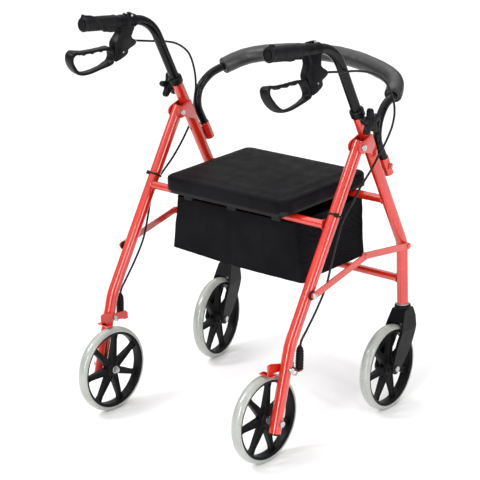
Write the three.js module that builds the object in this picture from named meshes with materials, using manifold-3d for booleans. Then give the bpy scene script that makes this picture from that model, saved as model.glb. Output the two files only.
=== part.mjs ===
// Folding four-wheeled rollator walker with a seat, a bag, a backrest and loop brakes.
// Millimetres. +Y is the walking direction, +X the user's right, +Z up. The origin is on the floor.

import * as THREE from 'three';
import { mergeVertices } from 'three/addons/utils/BufferGeometryUtils.js';
import Module from 'manifold-3d';

const wasm = await Module();
wasm.setup();

// ---------------------------------------------------------------- driving dimensions

const GAP = 0.35;                  // between pieces that touch
const LEG_X = 255;                 // centre plane of the legs of each side
const LEG_R = 12.7;                // 25.4 mm steel tube
const LEG_BORE = 11.5;
const LEG_SIDES = 12;

const PIVOT = { y: 60, z: 612 };   // the fold's pivot bolts
const FRONT_STEM_Y = 208.5;        // the lower, upright part of the front legs
const FRONT_BEND_Z = 362;
const FRONT_FOOT_Z = 222;
const FRONT_AXIS = { y: 64.5, z: 675, rise: 0.908, back: 0.418 };   // point and direction of the leg's axis
const FRONT_LEG_TOP = 14.3;        // along that axis, above the point

const REAR_STUB = 11;              // rear leg above the pivot bolt
const REAR_BEND = { y: -174, z: 247 };
const REAR_AXLE_Y = -222.5;
const REAR_LEG_BELOW_AXLE = 22;

const CROSS_R = 9;                 // cross tubes
const CROSS_BORE = 7.5;
const SEAT_TUBE_FRONT = { y: 160, z: 470 };
const SEAT_TUBE_REAR = { y: -40, z: 468 };
const LOWER_TUBE = { y: FRONT_STEM_Y, z: 278 };

const WHEEL_R = 95;                // 190 mm wheels
const TYRE_HALF = 13;
const RIM_R = 84.7;
const HUB_R = 16;
const SPOKES = 7;
const SPOKE_TURN = 11.5;           // degrees from the upright, towards the front
const WHEEL_SIDES = 24;
const AXLE_R = 4;
const AXLE_HOLE_R = 4.45;
const REAR_WHEEL_X = 222;

const CASTER_TRAIL = 65;
const CASTER_TURN = { left: 12, right: 4 };   // degrees, as the casters stand
const FORK_INNER = 17.5;
const FORK_OUTER = 24;
const STEM_CAP_TOP = FRONT_FOOT_Z - GAP;
const STEM_CAP_BOTTOM = 213;
const STEM_R = 8;

const SOCKET_OFFSET = 29.5;        // backrest socket in front of the leg's axis
const SOCKET_TOP = -131;           // along the leg's axis
const SOCKET_LENGTH = 43;
const SOCKET_R = 11;
const SOCKET_BORE = 9.65;
const BACKREST_R = 9.2;
const FOAM_R = 19;

const HANDLE_R = 10.9;
const HANDLE_CORNER = { y: -8.8, z: 834.5 };
const HANDLE_BEND_R = 84;
const HANDLE_INSERT = 95;          // length inside the leg
const GRIP_SLOPE = { back: 0.9931, rise: 0.1176 };
const GRIP_FROM = 110.7;           // along the grip's axis from the corner
const GRIP_TO = 204;
const GRIP_R = 15.6;
const CLAMP_FROM = 51;
const CLAMP_TO = 110;
const CLAMP_R = 13.8;
const BRAKE_ORIGIN = 85;           // the brake's own origin along the grip's axis
const BRAKE_TILT = 12;             // degrees outwards
const LEVER_PIVOT = [0, -67];
const LEVER_HALF = 11;
const TONGUE_HALF = 4.5;

const KNOB_AT = -9;                // along the leg's axis
const LINK_WIDTH = 15;
const LINK_FRONT_PIVOT = [209, 357];
const LINK_MID_PIVOT = [56, 378];
const LINK_REAR_PIVOT = [-115.5, 342];

const SEAT = { half: 175, back: -82, front: 203, corner: 20, board: 480, pad: 489.3, top: 516 };
const SEAT_LIP_Z = 475;            // foot of the lip under the seat's rear and front edges
const BAG_TOP = { half: 167, back: -46, front: 188, z: 456 };
const BAG_BOTTOM = { half: 187, back: -46, front: 166, z: 334 };
const BAG_WALL = 2.5;
const ARM_PIVOT = [-188, 201];

// ---------------------------------------------------------------- materials

function paint(color, roughness, metalness = 0) {
  return new THREE.MeshStandardMaterial({ color, roughness, metalness });
}

const redPaint = () => paint('#f0321f', 0.3, 0.2);
const blackPaint = () => paint('#17181a', 0.35, 0.2);
const plastic = () => paint('#1a1a1b', 0.5);
const rubber = () => paint('#b9bab2', 0.55);
const steel = () => paint('#c9cbcd', 0.25, 1);
const vinyl = () => paint('#111214', 0.45);
const nylon = () => paint('#131416', 0.85);
const foam = () => paint('#3c3e40', 0.8);

// ---------------------------------------------------------------- solids

const radians = (degrees) => (degrees * Math.PI) / 180;
const vec = (x, y, z) => new THREE.Vector3(x, y, z);

function signedVolume(positions, triangles) {
  const a = vec();
  const b = vec();
  const c = vec();
  let volume = 0;
  for (let i = 0; i < triangles.length; i += 3) {
    a.fromArray(positions, 3 * triangles[i]);
    b.fromArray(positions, 3 * triangles[i + 1]);
    c.fromArray(positions, 3 * triangles[i + 2]);
    volume += a.dot(b.cross(c)) / 6;
  }
  return volume;
}

// A closed three.js geometry as a manifold solid with its faces pointing out.
function solid(geometry) {
  const bare = geometry.index ? geometry.toNonIndexed() : geometry.clone();
  bare.deleteAttribute('normal');
  bare.deleteAttribute('uv');
  const merged = mergeVertices(bare, 1e-3);
  const positions = merged.attributes.position.array;
  const index = merged.index.array;
  const triangles = [];
  for (let i = 0; i < index.length; i += 3) {
    const [a, b, c] = [index[i], index[i + 1], index[i + 2]];
    if (a !== b && b !== c && a !== c) {
      triangles.push(a, b, c);
    }
  }
  if (signedVolume(positions, triangles) < 0) {
    triangles.reverse();
  }
  const mesh = new wasm.Mesh({
    numProp: 3,
    vertProperties: new Float32Array(positions),
    triVerts: new Uint32Array(triangles),
  });
  return new wasm.Manifold(mesh);
}

function geometryOf(body) {
  const mesh = body.getMesh();
  const geometry = new THREE.BufferGeometry();
  geometry.setAttribute('position', new THREE.BufferAttribute(new Float32Array(mesh.vertProperties), 3));
  geometry.setIndex(Array.from(mesh.triVerts));
  geometry.computeVertexNormals();
  return geometry;
}

function mirrored(geometry) {
  const copy = geometry.clone();
  copy.applyMatrix4(new THREE.Matrix4().makeScale(-1, 1, 1));
  copy.setIndex(Array.from(geometry.index.array).reverse());
  copy.computeVertexNormals();
  return copy;
}

const joined = (first, ...rest) => rest.reduce((all, next) => all.add(next), first);
const cut = (first, ...rest) => rest.reduce((all, next) => all.subtract(next), first);

// A curve that an extrusion follows station by station, however unevenly the stations lie.
class StationCurve extends THREE.Curve {
  constructor(stations) {
    super();
    this.stations = stations;
  }

  getSpacedPoints() {
    return this.stations;
  }

  getTangentAt(u) {
    const last = this.stations.length - 1;
    const i = Math.round(u * last);
    const before = this.stations[Math.max(i - 1, 0)];
    const after = this.stations[Math.min(i + 1, last)];
    const here = this.stations[i];
    const into = here.clone().sub(before).normalize();
    const out = after.clone().sub(here).normalize();
    return into.add(out).normalize();
  }
}

// Stations along straight runs whose inner corners are rounded to bendRadius.
function rounded(points, bendRadius) {
  const stations = [points[0]];
  for (let i = 1; i < points.length - 1; i += 1) {
    const into = points[i].clone().sub(points[i - 1]).normalize();
    const out = points[i + 1].clone().sub(points[i]).normalize();
    const turn = into.angleTo(out);
    const reach = bendRadius * Math.tan(turn / 2);
    const inward = out.clone().sub(into).normalize();
    const centre = points[i].clone().addScaledVector(inward, bendRadius / Math.cos(turn / 2));
    const start = points[i].clone().addScaledVector(into, -reach).sub(centre);
    const axis = into.clone().cross(out).normalize();
    const count = Math.max(2, Math.ceil(turn / radians(13)));
    for (let k = 0; k <= count; k += 1) {
      stations.push(start.clone().applyAxisAngle(axis, (turn * k) / count).add(centre));
    }
  }
  stations.push(points[points.length - 1]);
  return stations;
}

function circle(radius, sides) {
  const corners = [];
  for (let i = 0; i < sides; i += 1) {
    const angle = (2 * Math.PI * i) / sides;
    corners.push(new THREE.Vector2(radius * Math.cos(angle), radius * Math.sin(angle)));
  }
  return new THREE.Shape(corners);
}

// A round bar along stations.
function bar(stations, radius, sides) {
  const settings = { steps: stations.length - 1, extrudePath: new StationCurve(stations) };
  return solid(new THREE.ExtrudeGeometry(circle(radius, sides), settings));
}

// Stations with both ends moved out along the run, for a cut that must pass through them.
function overrun(stations, length) {
  const all = stations.map((point) => point.clone());
  const last = all.length - 1;
  const head = all[0].clone().sub(all[1]).normalize();
  const tail = all[last].clone().sub(all[last - 1]).normalize();
  all[0].addScaledVector(head, length);
  all[last].addScaledVector(tail, length);
  return all;
}

const rodX = (radius, x0, x1, [y, z], sides = 12) => bar([vec(x0, y, z), vec(x1, y, z)], radius, sides);

const ACROSS = new THREE.Matrix4().makeBasis(vec(0, 1, 0), vec(0, 0, 1), vec(1, 0, 0));

// A flat outline in (y, z) with thickness from x0 to x1.
function plate(outline, x0, x1, hole) {
  const flat = (points) => points.map(([y, z]) => new THREE.Vector2(y, z));
  const shape = outline instanceof THREE.Shape ? outline : new THREE.Shape(flat(outline));
  if (hole) {
    shape.holes.push(new THREE.Path(flat(hole)));
  }
  const geometry = new THREE.ExtrudeGeometry(shape, { depth: x1 - x0, bevelEnabled: false, curveSegments: 6 });
  geometry.applyMatrix4(ACROSS);
  geometry.translate(x0, 0, 0);
  return solid(geometry);
}

// A flat outline in (x, z) with thickness from y0 to y1.
function prismY(outline, y0, y1) {
  const shape = new THREE.Shape(outline.map(([x, z]) => new THREE.Vector2(x, z)));
  const geometry = new THREE.ExtrudeGeometry(shape, { depth: y1 - y0, bevelEnabled: false });
  geometry.rotateX(Math.PI / 2);
  geometry.translate(0, y1, 0);
  return solid(geometry);
}

const block = ([x0, x1], [y0, y1], [z0, z1]) => plate([[y0, z0], [y1, z0], [y1, z1], [y0, z1]], x0, x1);

// A closed profile of [x, radius] turned about the X axis.
function turnedX(profile, sides) {
  const points = profile.map(([x, radius]) => new THREE.Vector2(radius, x));
  points.push(points[0].clone());
  const geometry = new THREE.LatheGeometry(points, sides);
  geometry.rotateZ(-Math.PI / 2);
  return solid(geometry);
}

// A closed profile of [height, radius] turned about the line through base along direction.
function turnedAlong(profile, base, direction, sides) {
  const points = profile.map(([height, radius]) => new THREE.Vector2(radius, height));
  points.push(points[0].clone());
  const geometry = new THREE.LatheGeometry(points, sides);
  const turn = new THREE.Quaternion().setFromUnitVectors(vec(0, 1, 0), direction);
  geometry.applyQuaternion(turn);
  geometry.translate(base.x, base.y, base.z);
  return solid(geometry);
}

// A flat bar with round ends between two points of the (y, z) plane.
function strap([y0, z0], [y1, z1], width, x0, x1) {
  const along = Math.atan2(z1 - z0, y1 - y0);
  const shape = new THREE.Shape();
  shape.absarc(y0, z0, width / 2, along + Math.PI / 2, along + 1.5 * Math.PI, false);
  shape.absarc(y1, z1, width / 2, along - Math.PI / 2, along + Math.PI / 2, false);
  return plate(shape, x0, x1);
}

// ---------------------------------------------------------------- places on the frame

const frontAxis = (along, forward = 0, x = LEG_X) => vec(
  x,
  FRONT_AXIS.y - FRONT_AXIS.back * along + FRONT_AXIS.rise * forward,
  FRONT_AXIS.z + FRONT_AXIS.rise * along + FRONT_AXIS.back * forward,
);
const FRONT_UP = vec(0, -FRONT_AXIS.back, FRONT_AXIS.rise);

const gripAxis = (along) => vec(
  LEG_X,
  HANDLE_CORNER.y - GRIP_SLOPE.back * along,
  HANDLE_CORNER.z + GRIP_SLOPE.rise * along,
);

const GRIP_BACK = vec(0, -GRIP_SLOPE.back, GRIP_SLOPE.rise).normalize();

const frontLegRun = rounded(
  [frontAxis(FRONT_LEG_TOP), vec(LEG_X, FRONT_STEM_Y, FRONT_BEND_Z), vec(LEG_X, FRONT_STEM_Y, FRONT_FOOT_Z)],
  70,
);

const rearUp = vec(0, PIVOT.y - REAR_BEND.y, PIVOT.z - REAR_BEND.z).normalize();
const rearDown = vec(0, REAR_AXLE_Y - REAR_BEND.y, WHEEL_R - REAR_BEND.z).normalize();
const rearLegTop = vec(LEG_X, PIVOT.y, PIVOT.z).addScaledVector(rearUp, REAR_STUB);
const rearLegFoot = vec(LEG_X, REAR_AXLE_Y, WHEEL_R).addScaledVector(rearDown, REAR_LEG_BELOW_AXLE);
const rearLegRun = rounded([rearLegTop, vec(LEG_X, REAR_BEND.y, REAR_BEND.z), rearLegFoot], 110);

// ---------------------------------------------------------------- front frame

const socketPoint = (along) => frontAxis(along, SOCKET_OFFSET);

function frontLeg() {
  const tube = bar(frontLegRun, LEG_R, LEG_SIDES);
  const ears = [-1, 1].map((side) => {
    const inner = LEG_X + side * (LEG_R + GAP);
    const outer = LEG_X + side * (LEG_R + GAP + 2.5);
    const shape = new THREE.Shape();
    shape.absarc(PIVOT.y, PIVOT.z, 13.5, radians(125), radians(300), false);
    shape.lineTo(103, 587);
    shape.lineTo(107, 595);
    shape.lineTo(91, 634);
    shape.lineTo(81, 632);
    const weld = LEG_X + side * (LEG_BORE - 1);
    const beadOutline = [[95, 598], [105, 600], [91, 627], [81, 625]];
    const bead = plate(beadOutline, Math.min(weld, outer), Math.max(weld, outer));
    return plate(shape, Math.min(inner, outer), Math.max(inner, outer)).add(bead);
  });
  const socketTop = socketPoint(SOCKET_TOP);
  const socketFoot = socketPoint(SOCKET_TOP - SOCKET_LENGTH);
  const socket = bar([socketTop, socketFoot], SOCKET_R, 14);
  const [high, low] = [SOCKET_TOP - 8, SOCKET_TOP - 38];
  const web = [[high, 8], [high, 26], [low, 26], [low, 8]].map(([along, out]) => yz(frontAxis(along, out)));
  const gusset = plate(web, LEG_X - 2, LEG_X + 2);
  const boss = rodX(7, LEG_X + 8, LEG_X + 14, yz(socketPoint(SOCKET_TOP - 22)), 12);
  const socketBore = bar(
    [socketPoint(SOCKET_TOP + 5), socketPoint(SOCKET_TOP - SOCKET_LENGTH + 5)],
    SOCKET_BORE,
    14,
  );
  return cut(
    joined(tube, ...ears, socket, gusset, boss),
    bar(overrun(frontLegRun, 5), LEG_BORE, LEG_SIDES),
    socketBore,
    rodX(4.4, LEG_X + 5, LEG_X + 20, yz(socketPoint(SOCKET_TOP - 22)), 10),
    rodX(AXLE_HOLE_R, LEG_X - 20, LEG_X + 20, yz(PIVOT), 12),
    rodX(4.4, LEG_X + 5, LEG_X + 20, yz(frontAxis(KNOB_AT)), 10),
    rodX(3.4, LEG_X + 5, LEG_X + 20, LINK_FRONT_PIVOT, 10),
  );
}

function yz(point) {
  return [point.y, point.z];
}

function crossTube({ y, z }, legs) {
  const outer = rodX(CROSS_R, -LEG_X, LEG_X, [y, z], 12);
  const inner = rodX(CROSS_BORE, -LEG_X - 5, LEG_X + 5, [y, z], 12);
  const right = bar(overrun(legs, 5), LEG_R + GAP, LEG_SIDES);
  const left = solid(mirrored(geometryOf(right)));
  const middle = block([-LEG_X + 8, LEG_X - 8], [y - 20, y + 20], [z - 20, z + 20]);
  return cut(outer, right, left, inner).intersect(middle);
}

function legCollar() {
  const profile = [[-12, 13.2], [-12, 15.4], [0.5, 15.4], [4.5, 14], [4.5, 11.35], [0.6, 11.35], [0.6, 13.2]];
  return turnedAlong(profile, frontAxis(FRONT_LEG_TOP), FRONT_UP, 14);
}

function stemCap() {
  const height = STEM_CAP_TOP - STEM_CAP_BOTTOM;
  const profile = [[0, STEM_R + 0.6], [0, 18], [height - 2, 18], [height, 15.5], [height, STEM_R + 0.6]];
  return turnedAlong(profile, vec(LEG_X, FRONT_STEM_Y, STEM_CAP_BOTTOM), vec(0, 0, 1), 14);
}

function heightKnob() {
  const [y, z] = yz(frontAxis(KNOB_AT));
  const lobes = [];
  for (let i = 0; i < 30; i += 1) {
    const angle = (2 * Math.PI * i) / 30;
    const radius = 22 + 7 * Math.cos(5 * angle - Math.PI / 2);
    lobes.push([y + radius * Math.cos(angle), z + radius * Math.sin(angle)]);
  }
  return joined(
    plate(lobes, LEG_X + 21, LEG_X + 34),
    rodX(9.5, LEG_X + LEG_R + GAP, LEG_X + 22, [y, z], 12),
    rodX(9, LEG_X + 33, LEG_X + 37.5, [y, z], 12),
    rodX(3.8, LEG_X + LEG_BORE, LEG_X + 22, [y, z], 10),
  );
}

function socketButton() {
  const place = yz(socketPoint(SOCKET_TOP - 22));
  return rodX(3.9, LEG_X + 12.2, LEG_X + 17, place, 10);
}

function pivotBolt() {
  return joined(
    rodX(AXLE_R, LEG_X - 18, LEG_X + 18, yz(PIVOT), 12),
    rodX(7, LEG_X + 15.9, LEG_X + 19.5, yz(PIVOT), 12),
    rodX(6.5, LEG_X - 20.5, LEG_X - 15.9, yz(PIVOT), 6),
  );
}

// ---------------------------------------------------------------- rear frame

function rearLeg() {
  return cut(
    bar(rearLegRun, LEG_R, LEG_SIDES),
    bar(overrun(rearLegRun, 5), LEG_BORE - 0.2, LEG_SIDES),
    rodX(AXLE_HOLE_R, LEG_X - 20, LEG_X + 20, yz(PIVOT), 12),
    rodX(AXLE_HOLE_R, LEG_X - 20, LEG_X + 20, [REAR_AXLE_Y, WHEEL_R], 12),
    rodX(3.4, LEG_X - 20, LEG_X + 20, ARM_PIVOT, 10),
    rodX(3.4, LEG_X + 5, LEG_X + 20, LINK_REAR_PIVOT, 10),
  );
}

function rearLegPlug() {
  const profile = [
    [-6, 0], [-6, 10.4], [0.3, 10.4], [0.3, 12.3], [1.5, 11.4], [2.6, 9.8], [3.2, 6.5], [3.2, 0],
  ];
  return turnedAlong(profile, rearLegTop, rearUp, 12);
}

function rearAxle() {
  const place = [REAR_AXLE_Y, WHEEL_R];
  return joined(
    rodX(AXLE_R, REAR_WHEEL_X - 22, LEG_X + 16, place, 12),
    rodX(6.5, REAR_WHEEL_X - 19.5, REAR_WHEEL_X - TYRE_HALF - 0.6, place, 6),
    rodX(8, REAR_WHEEL_X + TYRE_HALF + 0.6, LEG_X - LEG_R - GAP, place, 12),
    rodX(6.8, LEG_X + LEG_R + GAP, LEG_X + 17.5, place, 12),
  );
}

function brakeArm() {
  const web = plate(
    [
      [-228, 194], [-227, 217], [-216, 218], [-186, 209], [-152, 206],
      [-146, 200], [-146, 188], [-157, 188], [-180, 193], [-214, 196],
    ],
    LEG_X - 16.4,
    LEG_X - LEG_R - GAP - 0.4,
  );
  const foot = block([REAR_WHEEL_X - 5, LEG_X - 3], [-228, -214], [193.4, 196]);
  const tab = block([LEG_X - 16.4, LEG_X + 9], [-157, -146], [185.9, 188.6]);
  return cut(joined(web, foot, tab), rodX(3.5, LEG_X - 25, LEG_X - 5, ARM_PIVOT, 10));
}

function brakeScrew() {
  return joined(
    rodX(3, LEG_X - 21, LEG_X + 16, ARM_PIVOT, 10),
    rodX(5.5, LEG_X - 21.5, LEG_X - 16.8, ARM_PIVOT, 6),
    rodX(6, LEG_X + LEG_R + GAP, LEG_X + 17, ARM_PIVOT, 12),
  );
}

function cableBoot() {
  const foot = vec(LEG_X + 4, -150.5, 189);
  const head = vec(LEG_X + 4, -146, 241);
  const length = foot.distanceTo(head);
  const ribs = [7.2, 8.2, 8.2, 7.2];
  const pitch = (length - 6) / ribs.length;
  const profile = [[0, 2.9]];
  ribs.forEach((radius, i) => {
    const at = pitch * i;
    profile.push([at, radius], [at + 0.65 * pitch, radius], [at + 0.85 * pitch, radius - 1.2]);
  });
  profile.push([length, 4.2], [length, 2.9]);
  return turnedAlong(profile, foot, head.clone().sub(foot).normalize(), 8);
}

// ---------------------------------------------------------------- wheels, axle on X at the origin

function tyre() {
  const half = [[11.4, 85], [12.4, 87.6], [8, 92.6]];
  const other = half.map(([x, radius]) => [-x, radius]).reverse();
  return turnedX([...half, [0, WHEEL_R], ...other], WHEEL_SIDES);
}

function rim() {
  const lip = [[11.6, RIM_R], [11.6, 78.8]];
  const other = lip.map(([x, radius]) => [-x, radius]).reverse();
  const barrel = turnedX([...lip, ...other], WHEEL_SIDES);
  const hub = rodX(HUB_R, -TYRE_HALF, TYRE_HALF, [0, 0], 12);
  const spokes = [];
  for (let i = 0; i < SPOKES; i += 1) {
    const angle = radians(SPOKE_TURN) + (2 * Math.PI * i) / SPOKES;
    const at = (along, across) => [
      along * Math.sin(angle) + across * Math.cos(angle),
      along * Math.cos(angle) - across * Math.sin(angle),
    ];
    spokes.push(plate([at(10, 8), at(81, 5.5), at(81, -5.5), at(10, -8)], -5.5, 5.5));
  }
  const bore = rodX(AXLE_HOLE_R, -TYRE_HALF - 2, TYRE_HALF + 2, [0, 0], 10);
  return cut(joined(barrel, hub, ...spokes), bore);
}

// ---------------------------------------------------------------- caster, stem at the origin, axle height zero

const FORK_AXLE = [-CASTER_TRAIL, 0];

function casterFork() {
  const top = STEM_CAP_BOTTOM - GAP - WHEEL_R;
  const outline = new THREE.Shape();
  outline.moveTo(16, top);
  outline.lineTo(21, top - 20);
  outline.lineTo(18, top - 42);
  outline.quadraticCurveTo(2, 30, -54, -9);
  outline.absarc(FORK_AXLE[0], FORK_AXLE[1], 12.5, radians(-38), radians(-190), true);
  outline.quadraticCurveTo(-60, 48, -40, 72);
  outline.lineTo(-33, 88);
  outline.lineTo(-16, top);
  const body = plate(outline, -FORK_OUTER, FORK_OUTER);
  const front = prismY([[-24, -30], [24, -30], [24, top - 44], [17, top], [-17, top], [-24, top - 44]], -95, 40);
  const wheelRoom = joined(
    rodX(WHEEL_R + 4, -FORK_INNER, FORK_INNER, FORK_AXLE, 24),
    block([-FORK_INNER, FORK_INNER], [-CASTER_TRAIL - 40, -CASTER_TRAIL + 40], [-60, 60]),
  );
  const stem = bar([vec(0, 0, top - 5), vec(0, 0, top + 58)], STEM_R, 12);
  const axleHole = rodX(AXLE_HOLE_R, -FORK_OUTER - 2, FORK_OUTER + 2, FORK_AXLE, 12);
  return joined(cut(body, wheelRoom, axleHole).intersect(front), stem);
}

function casterAxle() {
  return joined(
    rodX(AXLE_R, -FORK_OUTER - 3, FORK_OUTER + 3, FORK_AXLE, 12),
    rodX(6.8, FORK_OUTER + GAP, FORK_OUTER + 4.6, FORK_AXLE, 12),
    rodX(6.5, -FORK_OUTER - 5, -FORK_OUTER - GAP, FORK_AXLE, 6),
  );
}

// ---------------------------------------------------------------- fold links

function linkFront() {
  const inner = LEG_X + LEG_R + 1.8;
  const outer = inner + 3;
  return joined(
    strap(LINK_FRONT_PIVOT, LINK_MID_PIVOT, LINK_WIDTH, inner, outer),
    rodX(2.8, LEG_X + LEG_BORE + 0.2, outer + 1, LINK_FRONT_PIVOT, 10),
    rodX(5.5, outer - 1, outer + 2, LINK_FRONT_PIVOT, 12),
  );
}

function linkRear() {
  const inner = LEG_X + LEG_R + 5.3;
  const outer = inner + 3;
  return joined(
    strap(LINK_REAR_PIVOT, LINK_MID_PIVOT, LINK_WIDTH, inner, outer),
    rodX(2.8, LEG_X + LEG_BORE, outer + 1, LINK_REAR_PIVOT, 10),
    rodX(7, LEG_X + LEG_R + GAP, inner + 1, LINK_REAR_PIVOT, 12),
    rodX(5.8, outer - 1, outer + 2.4, LINK_REAR_PIVOT, 12),
    rodX(5, outer - 1, outer + 2, LINK_MID_PIVOT, 12),
  );
}

// ---------------------------------------------------------------- handles

const handleRun = rounded(
  [frontAxis(FRONT_LEG_TOP - HANDLE_INSERT), vec(LEG_X, HANDLE_CORNER.y, HANDLE_CORNER.z), gripAxis(GRIP_TO - 6)],
  HANDLE_BEND_R,
);

function handleTube() {
  return cut(bar(handleRun, HANDLE_R, 12), bar(overrun(handleRun, 5), HANDLE_R - 1.6, 12));
}

function grip() {
  const length = GRIP_TO - GRIP_FROM;
  const profile = [[0, HANDLE_R + GAP], [0, 15.2], [4, GRIP_R], [length * 0.5, 15], [length - 8, GRIP_R]];
  profile.push([length, 14.5], [length + 2, 11], [length + 2, 0], [length - 5, 0], [length - 5, HANDLE_R + GAP]);
  return turnedAlong(profile, gripAxis(GRIP_FROM), GRIP_BACK, 14);
}

// The brake's pieces lie in (y, z) about a point on the grip's axis, before the brake is tilted outwards.
function brakeHousing() {
  const shell = plate(
    [
      [-10, 0], [-10, -22], [-20, -37], [-25, -47], [-24, -56], [-21, -86], [-6, -84], [15, -76],
      [16, -64], [35, -58], [38, -55], [38, -49], [33, -45], [22, -36], [28, -20], [29, 0],
    ],
    -LEVER_HALF,
    LEVER_HALF,
  );
  const along = (distance) => GRIP_BACK.clone().multiplyScalar(distance - BRAKE_ORIGIN);
  const clamp = bar([along(CLAMP_FROM), along(CLAMP_TO)], CLAMP_R, 14);
  return cut(
    joined(shell, clamp),
    bar([along(CLAMP_FROM - 12), along(CLAMP_TO + 12)], HANDLE_R + GAP, 16),
    block([-TONGUE_HALF - 0.7, TONGUE_HALF + 0.7], [-45, 10], [-80, -54]),
    rodX(2.6, -20, 20, LEVER_PIVOT, 10),
  );
}

const LEVER_OUTSIDE = [
  [-33, -53], [-44, -50], [-61, -49], [-90, -48], [-114, -46], [-129, -43.5], [-142, -41.5],
  [-149.5, -47], [-151, -58], [-144, -76], [-130, -92], [-113, -100], [-92, -102], [-67, -99.5],
  [-42, -94.5], [-24, -88], [-24.2, -78], [-26, -66], [-29.5, -58],
];
const LEVER_OPENING = [
  [-36, -59], [-45, -56.5], [-61, -55], [-90, -54], [-113, -52.5], [-128, -50], [-136, -48],
  [-142, -51.5], [-143.5, -59], [-137, -72], [-124, -86], [-110, -94], [-92, -96], [-67, -93.5],
  [-44, -88.8], [-33, -85], [-29.5, -78], [-30.5, -70], [-32.5, -63],
];

function brakeLever() {
  const loop = plate(LEVER_OUTSIDE, -LEVER_HALF, LEVER_HALF, LEVER_OPENING);
  const [py, pz] = LEVER_PIVOT;
  const tongue = plate(
    [[-30, pz - 9], [py, pz - 7], [py + 7, pz], [py, pz + 7], [-8, pz + 4], [-30, pz + 3]],
    -TONGUE_HALF,
    TONGUE_HALF,
  );
  return cut(joined(loop, tongue), rodX(2.6, -20, 20, LEVER_PIVOT, 10));
}

const leverPin = () => rodX(2.2, -LEVER_HALF - 1.2, LEVER_HALF + 1.2, LEVER_PIVOT, 10);

// ---------------------------------------------------------------- backrest

const BACKREST_POINTS = [
  [254.8, 127.5, 612], [253.4, 134.5, 648], [247.5, 163, 675], [239, 203, 688], [207, 249, 706], [114, 284, 721],
];
const BACKREST_APEX = [0, 298.9, 727];

function backrestCurve() {
  const rise = [socketPoint(SOCKET_TOP - SOCKET_LENGTH + 6), socketPoint(SOCKET_TOP - 4)];
  const right = [...rise, ...BACKREST_POINTS.map(([x, y, z]) => vec(x, y, z))];
  const left = right.map((point) => vec(-point.x, point.y, point.z)).reverse();
  return new THREE.CatmullRomCurve3([...right, vec(...BACKREST_APEX), ...left], false, 'centripetal');
}

function stretch(curve, from, to, count) {
  const stations = [];
  for (let i = 0; i <= count; i += 1) {
    stations.push(curve.getPointAt(from + ((to - from) * i) / count));
  }
  return stations;
}

const backrest = backrestCurve();
const FOAM_FROM = 0.212;
const BACKREST_STEPS = 42;

const backrestTube = () => bar(stretch(backrest, 0, 1, BACKREST_STEPS), BACKREST_R, 10);

function backrestFoam() {
  const outer = bar(stretch(backrest, FOAM_FROM, 1 - FOAM_FROM, 20), FOAM_R, 12);
  const inner = bar(stretch(backrest, 0, 1, BACKREST_STEPS), BACKREST_R + GAP, 10);
  return outer.subtract(inner);
}

// ---------------------------------------------------------------- seat and bag

function roundedRectangle(half, back, front, corner) {
  const shape = new THREE.Shape();
  shape.absarc(half - corner, front - corner, corner, 0, Math.PI / 2, false);
  shape.absarc(-half + corner, front - corner, corner, Math.PI / 2, Math.PI, false);
  shape.absarc(-half + corner, back + corner, corner, Math.PI, 1.5 * Math.PI, false);
  shape.absarc(half - corner, back + corner, corner, 1.5 * Math.PI, 2 * Math.PI, false);
  return shape;
}

function seatCushion() {
  const bevel = 8;
  const shape = roundedRectangle(SEAT.half - bevel, SEAT.back + bevel, SEAT.front - bevel, SEAT.corner - bevel);
  const depth = SEAT.top - SEAT.pad - 2 * bevel;
  const edge = { bevelThickness: bevel, bevelSize: bevel, bevelSegments: 2 };
  const geometry = new THREE.ExtrudeGeometry(shape, { depth, curveSegments: 3, ...edge });
  geometry.translate(0, 0, SEAT.pad + bevel);
  return solid(geometry);
}

function seatBoard() {
  const inset = 4;
  const shape = roundedRectangle(SEAT.half - inset, SEAT.back + inset, SEAT.front - inset, SEAT.corner - inset);
  const depth = SEAT.pad - GAP - SEAT.board;
  const geometry = new THREE.ExtrudeGeometry(shape, { depth, bevelEnabled: false, curveSegments: 3 });
  geometry.translate(0, 0, SEAT.board);
  const front = SEAT_TUBE_FRONT;
  const hinges = [-110, 110].map((x) => cut(
    joined(
      rodX(CROSS_R + 4.5, x - 14, x + 14, yz(front), 14),
      block([x - 14, x + 14], [front.y - 13.5, front.y + 13.5], [front.z, SEAT.board + 2]),
    ),
    rodX(CROSS_R + 0.5, x - 20, x + 20, yz(front), 14),
    block([x - 20, x + 20], [front.y - 6, front.y + 6], [front.z - 30, front.z]),
  ));
  const rear = SEAT_TUBE_REAR;
  const saddles = [-125, 0, 125].map((x) => cut(
    block([x - 12, x + 12], [rear.y - 14, rear.y + 4.6], [rear.z - 11, SEAT.board + 2]),
    rodX(CROSS_R + 0.6, x - 20, x + 20, yz(rear), 12),
    block([x - 20, x + 20], [rear.y - 9, rear.y + 20], [rear.z - 12, rear.z + 7]),
  ));
  const lip = SEAT.half - SEAT.corner - 2;
  const rearLip = block([-lip, lip], [SEAT.back + inset, SEAT.back + 12], [SEAT_LIP_Z, SEAT.board + 2]);
  const frontLip = block([-lip, lip], [SEAT.front - 12, SEAT.front - inset], [SEAT_LIP_Z, SEAT.board + 2]);
  return joined(solid(geometry), rearLip, frontLip, ...hinges, ...saddles);
}

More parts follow.
